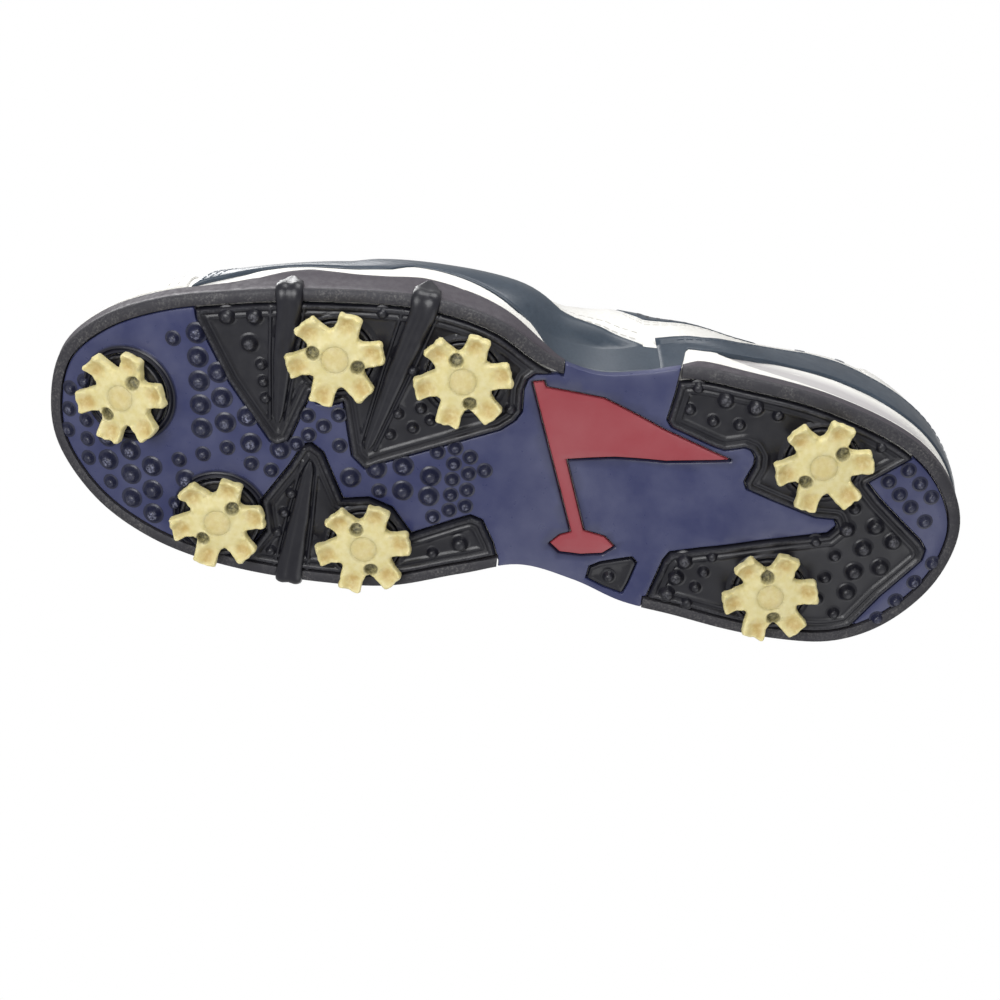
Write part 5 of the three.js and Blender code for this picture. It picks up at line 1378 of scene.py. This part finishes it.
class SHOE_OT_upper(Operator):
    """Sews the outer leather panels: toe cap, vamp, mudguards, quarters, eyestays, heel band and patch"""
    bl_idname = "shoe.upper"
    bl_label = "Upper"

    def execute(self, context):
        made = finishes(context.scene)

        def sew(node, key, side, q, low, high, outer, inner, rows, **how):
            """Sews the panel that stands for a node."""
            points, faces, _ = panel_mesh(side, q, low, high, outer, inner, rows, **how)
            weld(piece(f"{node}_sewn", points, faces, made[key], replaces=[node], sharp=50), 0.01)

        side, q = columns(-TOE_CAP_Q, TOE_CAP_Q)
        sew("toe_cap", "white_leather", side, q, stripe_line(side, q), 1.0, 0.0, 1.2, 22,
            lean=PANEL_SLANT * smooth(q, 0.15, TOE_CAP_Q), ridge=True)
        side, q = columns(-THROAT_Q - 0.02, THROAT_Q + 0.02)
        under = 1.3 + 1.5 * smooth(q, THROAT_Q - 0.01, THROAT_Q + 0.003)
        sew("vamp", "white_leather", side, q, bed_line(side, q, 0.2), 1.0, under, under + 1.1, 22, ridge=True)
        for way, name in ((1.0, "lateral"), (-1.0, "medial")):
            side, q = columns_on(way, TOE_CAP_Q + 0.005, share_at(way, 48.5))
            sew(f"mudguard_{name}", "navy_leather", side, q, guard_low(side, q), guard_top(side, q),
                -0.2, 1.2, 16, soft=0.8, lean=PANEL_SLANT * (1 - smooth(q, 0.22, 0.3)))
            side, q = columns_on(way, THROAT_Q + 0.004, 0.997)
            sew(f"quarter_{name}", "white_leather", side, q, bed_line(side, q, 0.2), 1.0, 1.3, 2.6, 26)
            side, q = columns_on(way, THROAT_Q + 0.012, 0.605)
            sew(f"eyestay_{name}", "white_leather", side, q, 0.85, 1.0, 0.0, 1.2, 6)
        side, q = columns(share_at(1, 46.2), 2 - share_at(-1, 46.2), 1 / 400)
        low = band_line(side, q, BAND_LOW)
        low = TUCKED + (low - TUCKED) * smooth(sole_edge(side, q)[1], 52.6, 55)
        sew("heel_band", "navy_leather", side, q, low, band_line(side, q, BAND_TOP), -0.5, 1.2, 8)
        side, q = columns(0.86, 1.14)
        sew("heel_patch", "white_leather", side, q, band_line(side, q, BAND_TOP, 0.6), 0.86, 0.3, 1.25, 14,
            soft=0.7)
        return {"FINISHED"}


# Corners of the navy window in the quarter: share along the wall, v of its lower and of its upper edge.
WINDOW = [(0.607, 0.38, 0.40), (0.622, 0.29, 0.50), (0.636, 0.225, 0.52), (0.66, 0.26, 0.525),
          (0.70, 0.35, 0.52), (0.735, 0.43, 0.48), (0.742, 0.45, 0.46)]
VENTS = [(0.79, 0.70), (0.834, 0.68)]


def window_edge(q, column):
    return np.interp(q, [row[0] for row in WINDOW], [row[column] for row in WINDOW])


def set_on_wall(points, side, q, v, depth=0.0):
    """Points about +Z moved to stand on the wall."""
    normal = wall_normal(np.array(side), np.array(q), np.array(v))
    turn = np.array(Vector((0, 0, 1)).rotation_difference(Vector(normal)).to_matrix())
    return points @ turn.T + wall_point(side, q, v, depth)


class SHOE_OT_openwork(Operator):
    """Makes the perforated navy windows of the quarters, the vents by the heel and the slits at the waist"""
    bl_idname = "shoe.openwork"
    bl_label = "Windows and vents"

    def execute(self, context):
        made = finishes(context.scene)
        dark, windows, slits = [], [], []
        dot, dot_faces = turned([(0, -0.1), (0.62, -0.1), (0.62, 0.03), (0, 0.03)], 12)
        vent, vent_faces = turned([(0, -0.9), (1.0, -0.9), (1.0, 0.1), (1.25, 0.3), (1.6, 0.3), (1.8, 0.05),
                                   (1.8, -1.0), (0, -1.0)], 28)
        vents = []
        for way in (1.0, -1.0):
            side, q = np.full(60, way), np.linspace(WINDOW[0][0], WINDOW[-1][0], 60)
            low, high = window_edge(q, 1), window_edge(q, 2)
            windows.append(panel_mesh(side, q, low, high, 1.0, 1.5, 6, soft=0.25)[:2])
            # The perforations are black discs standing for the holes: a painted shade inside them.
            for share in np.arange(0.632, 0.735, 0.0105):
                low, high = float(window_edge(share, 1)), float(window_edge(share, 2))
                for v in np.arange(low + 0.04, high - 0.025, 0.042):
                    dark.append((set_on_wall(dot, way, share, v, 1.0), dot_faces))
            for q_vent, v_vent in VENTS:
                vents.append((set_on_wall(vent, way, q_vent, v_vent, 1.3), vent_faces))
            side, q = np.full(30, way), np.linspace(share_at(way, -7), share_at(way, 7), 30)
            high = guard_top(side, q, 0.15 + 1.5 * np.sin(np.linspace(0, math.pi, 30)))
            slits.append(panel_mesh(side, q, guard_top(side, q, 0.1), high, 1.1, 1.6, 2, soft=0.1)[:2])
        for name, parts, key, slot in (
                ("quarter_windows", windows, "navy_leather", "navy_leather"),
                ("window_perforations", dark, "insert_tpu", "navy_leather"),
                ("waist_slits", slits, "insert_tpu", "white_leather"),
                ("heel_vents", vents, "stiffener_plastic", "white_leather")):
            # The near-black coat darkens the perforations' painted shade and the slits; the windows' leather
            # and the vents' plastic don't read it.
            points, faces = merge(parts)
            piece(name, points, faces, made[key], sharp=50,
                  marks={"shade": np.full(len(points), 0.8)})
        return {"FINISHED"}


class SHOE_OT_stitching(Operator):
    """Sews the rows of stitches along the panels' edges"""
    bl_idname = "shoe.stitching"
    bl_label = "Stitching"

    def execute(self, context):
        made = finishes(context.scene)
        sizes = context.scene.shoe_sizes
        pale, dark = [], []
        for way in (1.0, -1.0):
            q = np.linspace(TOE_CAP_Q + 0.012, share_at(way, 40), 220)
            for over in (1.0, 3.2):
                pale.append(seam(way, q, guard_top(way, q, over), 1.3))
            v = np.linspace(0.02, 0.985, 120)
            for back in (0.008, 0.018):
                share = TOE_CAP_Q - back
                foot = stripe_line(way, share)
                pale.append(seam(way, share + PANEL_SLANT * (1 - v), foot + (1 - foot) * v))
            q = np.linspace(THROAT_Q + 0.02, 0.6, 120)
            for v in (0.862, 0.985):
                pale.append(seam(way, q, v, 0.0))
            q = np.linspace(0.66, 0.99, 160)
            pale.append(seam(way, q, 0.955, 1.3))
            q = np.linspace(0.615, 0.745, 90)
            for over in (0.03, 0.062):
                pale.append(seam(way, q, window_edge(q, 1) - over, 1.3))
            climb = np.linspace(0.04, 0.96, 60)
            for share in (0.229, 0.236, 0.243):
                low, high = guard_low(way, share), guard_top(way, share)
                dark.append(seam(way, share + PANEL_SLANT * (1 - climb), low + (high - low) * climb, -0.2))
            q = np.linspace(0.875, 0.995, 60)
            pale.append(seam(way, q, 0.845, 0.3))
            q = np.linspace(share_at(way, 52), 0.999, 220)
            dark.append(seam(way, q, band_line(way, q, BAND_TOP, -1.6), -0.5))
        stitches("pale_stitching", pale, made["white_thread"], sizes)
        stitches("dark_stitching", dark, made["navy_thread"], sizes)
        return {"FINISHED"}


class SHOE_OT_eyelets(Operator):
    """Makes the metal eyelets along the throat"""
    bl_idname = "shoe.eyelets"
    bl_label = "Eyelets"

    def execute(self, context):
        material = finishes(context.scene)["eyelet_metal"]
        sides = 40
        ring = [(1.6, -1.5), (2.3, -1.5), (2.3, 0.0), (3.45, 0.0), (3.6, 0.25), (3.4, 0.55), (2.9, 0.72),
                (2.3, 0.62), (1.8, 0.2), (1.6, -0.3)]
        turns = 2 * np.pi * np.arange(sides) / sides
        rings = [[(r * math.cos(a), r * math.sin(a), z) for r, z in ring] for a in turns]
        points, faces = sweep(rings, joined=True)
        for way, name in ((1.0, "lateral"), (-1.0, "medial")):
            for i, q in enumerate(EYELET_SHARES):
                node = f"eyelet_{name}_{i + 1}"
                piece(f"{node}_pressed", set_on_wall(points, way, q, EYELET_V), faces, material,
                      replaces=[node])
        return {"FINISHED"}


def lining_depth(q, v):
    padded = 2.8 * smooth(q, 0.6, 0.68) * smooth(v, 0.56, 0.68)
    return 6.0 + padded - 3.2 * smooth(v, 0.93, 0.995) * smooth(-q, -0.7, -0.66) * smooth(q, 0.32, 0.35)


class SHOE_OT_inside(Operator):
    """Makes the lining, the padded collar, the footbed and the padded tongue"""
    bl_idname = "shoe.inside"
    bl_label = "Lining, collar, footbed and tongue"

    def execute(self, context):
        made = finishes(context.scene)
        side, q = columns(-0.9995, 0.9995)
        points, faces, places = panel_mesh(side, q, bed_line(side, q), 1.0, 0.0, 1.4, 24, soft=0.01,
                                           round_ends=False, lie=lining_depth)
        weld(piece("lining_sewn", points, faces, made["lining_textile"], replaces=["lining"],
                   sharp=50, marks=places), 0.01)

        side, q = columns(0.69, 1.31)
        turns = np.linspace(0, 2 * math.pi, 20, endpoint=False)
        rings = []
        ends = smooth(q, 0.69, 0.74)
        for t in turns:
            depth = 5.9 - 2.35 * math.cos(t)
            v = 0.9 + 0.1 * np.clip(math.sin(t), -1, 1)
            crown = 1.1 * max(0.0, math.sin(t)) ** 2 * ends
            ring = wall_point(side, q, np.full(q.shape, v), depth)
            ring[:, 2] += crown
            rings.append(ring)
        points, faces = sweep(np.stack(rings, 1))
        run = lengths_along(wall(side, q, 1.0))
        climb = np.tile(turns * 3.0, len(q))
        collar = piece("collar_padded", points, faces, made["lining_textile"], replaces=["collar_padding"],
                       sharp=60,
                       marks={"run": np.repeat(run, len(turns)), "climb": climb})
        self.footbed(made)
        self.tongue(made)
        return {"FINISHED"}

    def footbed(self, made):
        """A foam footbed with a cloth top, raised a little round its edge."""
        q = np.linspace(0.05, 0.95, 120)
        shares = np.linspace(0, 1, 25)
        edges = []
        for side in (1.0, -1.0):
            x, y, nx, ny = sole_edge(side, q)
            inset = 8.6 - 1.5 * smooth(y, -40, 60)
            edges.append(np.stack([x - nx * inset, y - ny * inset], -1))
        flat = edges[0][:, None] + (edges[1] - edges[0])[:, None] * shares[None, :, None]
        y = flat[..., 1]
        low = foot_level(y) + 2.35 + rise(y)
        cup = 1.3 * np.abs(2 * shares[None, :] - 1) ** 4 * smooth(y, -60, 40)
        top = low + 4.2 - 1.3 + cup - 0.8 * (np.abs(2 * shares[None, :] - 1) > 0.999)
        points, faces = sheet(np.dstack([flat, top]), np.dstack([flat, low]))
        obj = piece("footbed_covered", points, faces, made["footbed"], replaces=["sockliner"],
                    marks={"run": points[:, 0], "climb": points[:, 1]})

    def tongue(self, made):
        """A padded leather tongue: a crowned flap under the throat with a free end that leans back."""
        q = np.linspace(THROAT_Q + 0.02, 0.57, 40)
        across = np.linspace(-1, 1, 21)
        rings = [self.tongue_row(share, across) for share in q]
        last = rings[-1]
        middle = last[:, 0].mean()
        for t in np.linspace(0.06, 1, 16):
            back, lift = 20 * math.sin(math.pi * t / 2), 28 * t
            width = np.interp(t, [0, 0.25, 0.5, 0.75, 0.9, 0.96, 1], [0.95, 0.74, 0.8, 0.88, 0.86, 0.8, 0.66])
            ring = last.copy()
            ring[:, 0] = middle + (ring[:, 0] - middle) * width
            ring[:, 1] += back
            ring[:, 2] += lift
            facing = (ring[:len(across)] + ring[len(across):][::-1]) / 2
            flat = smooth(t, 0.1, 0.6)
            facing[:, 1:] += (facing[:, 1:].mean(0) - facing[:, 1:]) * flat * 0.75
            lean = np.array([0, math.cos(1.1 * t), -math.sin(1.1 * t)] if t > 0.3 else [0, 0.3, -1.0])
            half = (2.7 - 1.8 * smooth(t, 0.85, 1.0)) * (1 - 0.8 * np.abs(across) ** 6)
            rings.append(np.vstack([facing - lean * half[:, None], (facing + lean * half[:, None])[::-1]]))
        points, faces = sweep(np.array(rings))
        obj = piece("tongue_padded", points, faces, made["white_leather"], replaces=["tongue"],
                    sharp=60)

    def tongue_row(self, q, across):
        """Section of the tongue under the throat: an arch from one side of the wall to the other."""
        ways = np.array([-1.0, 1.0])
        right, left = wall_point(ways, q, 0.89, 8.8)
        crest = wall_point(ways, q, 1.0, 8.8).mean(0) + (0, 0, 5.0)
        base = right + (left - right) * (across[:, None] + 1) / 2
        upper = base + (crest - (left + right) / 2) * (1 - across ** 2)[:, None]
        lower = upper + np.array([0, 0.15, -1.0]) * (4.5 * (1 - 0.75 * across ** 6))[:, None]
        return np.vstack([upper, lower[::-1]])


class SHOE_OT_inner_layers(Operator):
    """Gives the hidden layers their materials: shank, board, heel cushion, toe puff, counter and posts"""
    bl_idname = "shoe.inner_layers"
    bl_label = "Hidden layers"

    def execute(self, context):
        made = finishes(context.scene)
        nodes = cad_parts
        wanted = {"shank_plate": "shank_steel", "lasting_board": "board_fibre",
                  "heel_cushion": "midsole_foam", "toe_puff": "stiffener_plastic",
                  "heel_counter": "stiffener_plastic"}
        wanted.update({f"cleat_post_{name}": "stiffener_plastic" for name, *_ in CLEATS})
        for node, key in wanted.items():
            mesh = nodes[node].data
            mesh.materials.clear()
            mesh.materials.append(made[key])
        return {"FINISHED"}


# ---------------------------------------------------------------------------------------------
# Stage
# ---------------------------------------------------------------------------------------------
CAMERA_TILT = math.radians(23)
CAMERA_ROLL = 0.111054
CAMERA_DISTANCE = 600.0
CAMERA_TARGET = np.array([-11.570, 0.889, 8.0])
LENS = 67.315
WHITE = (1, 1, 1, 1)
# Lights: name, place in metres, side of the square and power.
LAMPS = [
    ("key_below", (0.35, -0.3, -0.65), 0.5, 4.2), ("fill_below", (-0.5, 0.35, -0.5), 0.6, 1.1),
    ("side_lateral", (0.8, 0.1, 0.12), 0.5, 3.6), ("key_above", (0.35, -0.5, 0.9), 0.55, 6.0),
    ("fill_above", (-0.6, 0.3, 0.7), 0.8, 2.0),
]


class SHOE_OT_stage(Operator):
    """Sets the pale floor, the soft studio light and the camera under the sole"""
    bl_idname = "shoe.stage"
    bl_label = "Stage"

    def execute(self, context):
        scene = context.scene
        scene.view_settings.view_transform = "Standard"
        self.camera(scene)
        self.floor(scene)
        self.lights(scene)
        self.world(scene)
        return {"FINISHED"}

    def camera(self, scene):
        back = np.array([math.sin(CAMERA_TILT), 0, -math.cos(CAMERA_TILT)])
        level = np.array([math.cos(CAMERA_TILT), 0, math.sin(CAMERA_TILT)])
        right = math.cos(CAMERA_ROLL) * np.array([0, 1.0, 0]) + math.sin(CAMERA_ROLL) * level
        up = -math.sin(CAMERA_ROLL) * np.array([0, 1.0, 0]) + math.cos(CAMERA_ROLL) * level
        camera = bpy.data.cameras.new("camera")
        camera.lens, camera.sensor_width = LENS, 36.0
        camera.clip_start, camera.clip_end = 0.01, 20
        obj = bpy.data.objects.new("camera", camera)
        scene.collection.objects.link(obj)
        matrix = Matrix(np.column_stack([right, up, back]).tolist()).to_4x4()
        matrix.translation = Vector(place(CAMERA_TARGET + CAMERA_DISTANCE * back).tolist())
        obj.matrix_world = matrix
        scene.camera = obj

    def floor(self, scene):
        """A floor that is seen from above only, so that it doesn't hide the sole from below."""
        mesh = bpy.data.meshes.new("floor")
        reach = 3.0
        mesh.from_pydata([(-reach, -reach, 0), (reach, -reach, 0), (reach, reach, 0), (-reach, reach, 0)], [],
                         [(0, 1, 2, 3)])
        material, tree, shader = new_material("studio_paper_matt", 0.8, tuple(scene.shoe_colours.floor))
        spot = add(tree, "NewGeometry", output="Position")
        away = add(tree, "VectorMath", {0: spot}, "Value", operation="LENGTH")
        fade = add(tree, "MapRange", {0: away, 1: 0.16, 2: 0.55})
        # Painted contact shadow: an occlusion node darkens the floor's glow near the shoe, and this glow
        # makes up about two thirds of its look there.
        painted_contact_shadow = add(tree, "AmbientOcclusion", {"Distance": 0.09}, samples=8)
        pale = add(tree, "Emission", {"Color": painted_contact_shadow, "Strength": 0.96})
        near = add(tree, "MixShader", {0: 0.65, 1: shader.outputs[0], 2: pale})
        even = add(tree, "Emission", {"Color": WHITE, "Strength": 1.0})
        shown = add(tree, "MixShader", {0: fade, 1: near, 2: even})
        both = add(tree, "MixShader", {0: add(tree, "NewGeometry", output="Backfacing"), 1: shown,
                                       2: add(tree, "BsdfTransparent")})
        tree.links.new(both, tree.get_output_node("ALL").inputs["Surface"])
        mesh.materials.append(material)
        obj = bpy.data.objects.new("floor", mesh)
        scene.collection.objects.link(obj)
        obj.visible_shadow = False
        obj.visible_diffuse = False
        obj.visible_glossy = False
        obj.visible_transmission = False

    def lights(self, scene):
        for name, spot, size, power in LAMPS:
            light = bpy.data.lights.new(name, "AREA")
            light.shape, light.size, light.energy = "SQUARE", size, power
            obj = bpy.data.objects.new(name, light)
            scene.collection.objects.link(obj)
            obj.location = spot
            obj.rotation_euler = (Vector((0, 0, 0.03)) - Vector(spot)).to_track_quat("-Z", "Y").to_euler()

    def world(self, scene):
        world = bpy.data.worlds.new("studio")
        scene.world = world
        world.use_nodes = True
        tree = world.node_tree
        tree.nodes.clear()
        seen = add(tree, "LightPath", output="Is Camera Ray")
        light = add(tree, "Background", {"Color": WHITE, "Strength": 0.42})
        shown = add(tree, "Background", {"Color": WHITE, "Strength": 1.0})
        add(tree, "OutputWorld", {"Surface": add(tree, "MixShader", {0: seen, 1: light, 2: shown})})


STEPS = (SHOE_OT_outsole_plate, SHOE_OT_inserts, SHOE_OT_emblem_and_pad, SHOE_OT_nubs, SHOE_OT_fins,
         SHOE_OT_rims, SHOE_OT_receptacles, SHOE_OT_cleats, SHOE_OT_midsole, SHOE_OT_upper, SHOE_OT_openwork,
         SHOE_OT_stitching, SHOE_OT_eyelets, SHOE_OT_inside, SHOE_OT_inner_layers, SHOE_OT_stage)


class SHOE_PT_looks(Panel):
    """Lists the steps that build the shoe"""
    bl_idname = "SHOE_PT_looks"
    bl_label = "Golf shoe"
    bl_space_type = "VIEW_3D"
    bl_region_type = "UI"
    bl_category = "Golf shoe"

    def draw(self, context):
        for group in (context.scene.shoe_colours, context.scene.shoe_sizes):
            for key in type(group).__annotations__:
                self.layout.prop(group, key)
        for step in STEPS:
            self.layout.operator(step.bl_idname)


CLASSES = (ShoeColours, ShoeSizes, *STEPS, SHOE_PT_looks)


def register():
    for cls in CLASSES:
        bpy.utils.register_class(cls)
    bpy.types.Scene.shoe_colours = PointerProperty(type=ShoeColours)
    bpy.types.Scene.shoe_sizes = PointerProperty(type=ShoeSizes)


def unregister():
    del bpy.types.Scene.shoe_sizes
    del bpy.types.Scene.shoe_colours
    for cls in reversed(CLASSES):
        bpy.utils.unregister_class(cls)


def main():
    register()
    for step in STEPS:
        group, name = step.bl_idname.split(".")
        getattr(getattr(bpy.ops, group), name)()


if __name__ == "__main__":
    main()
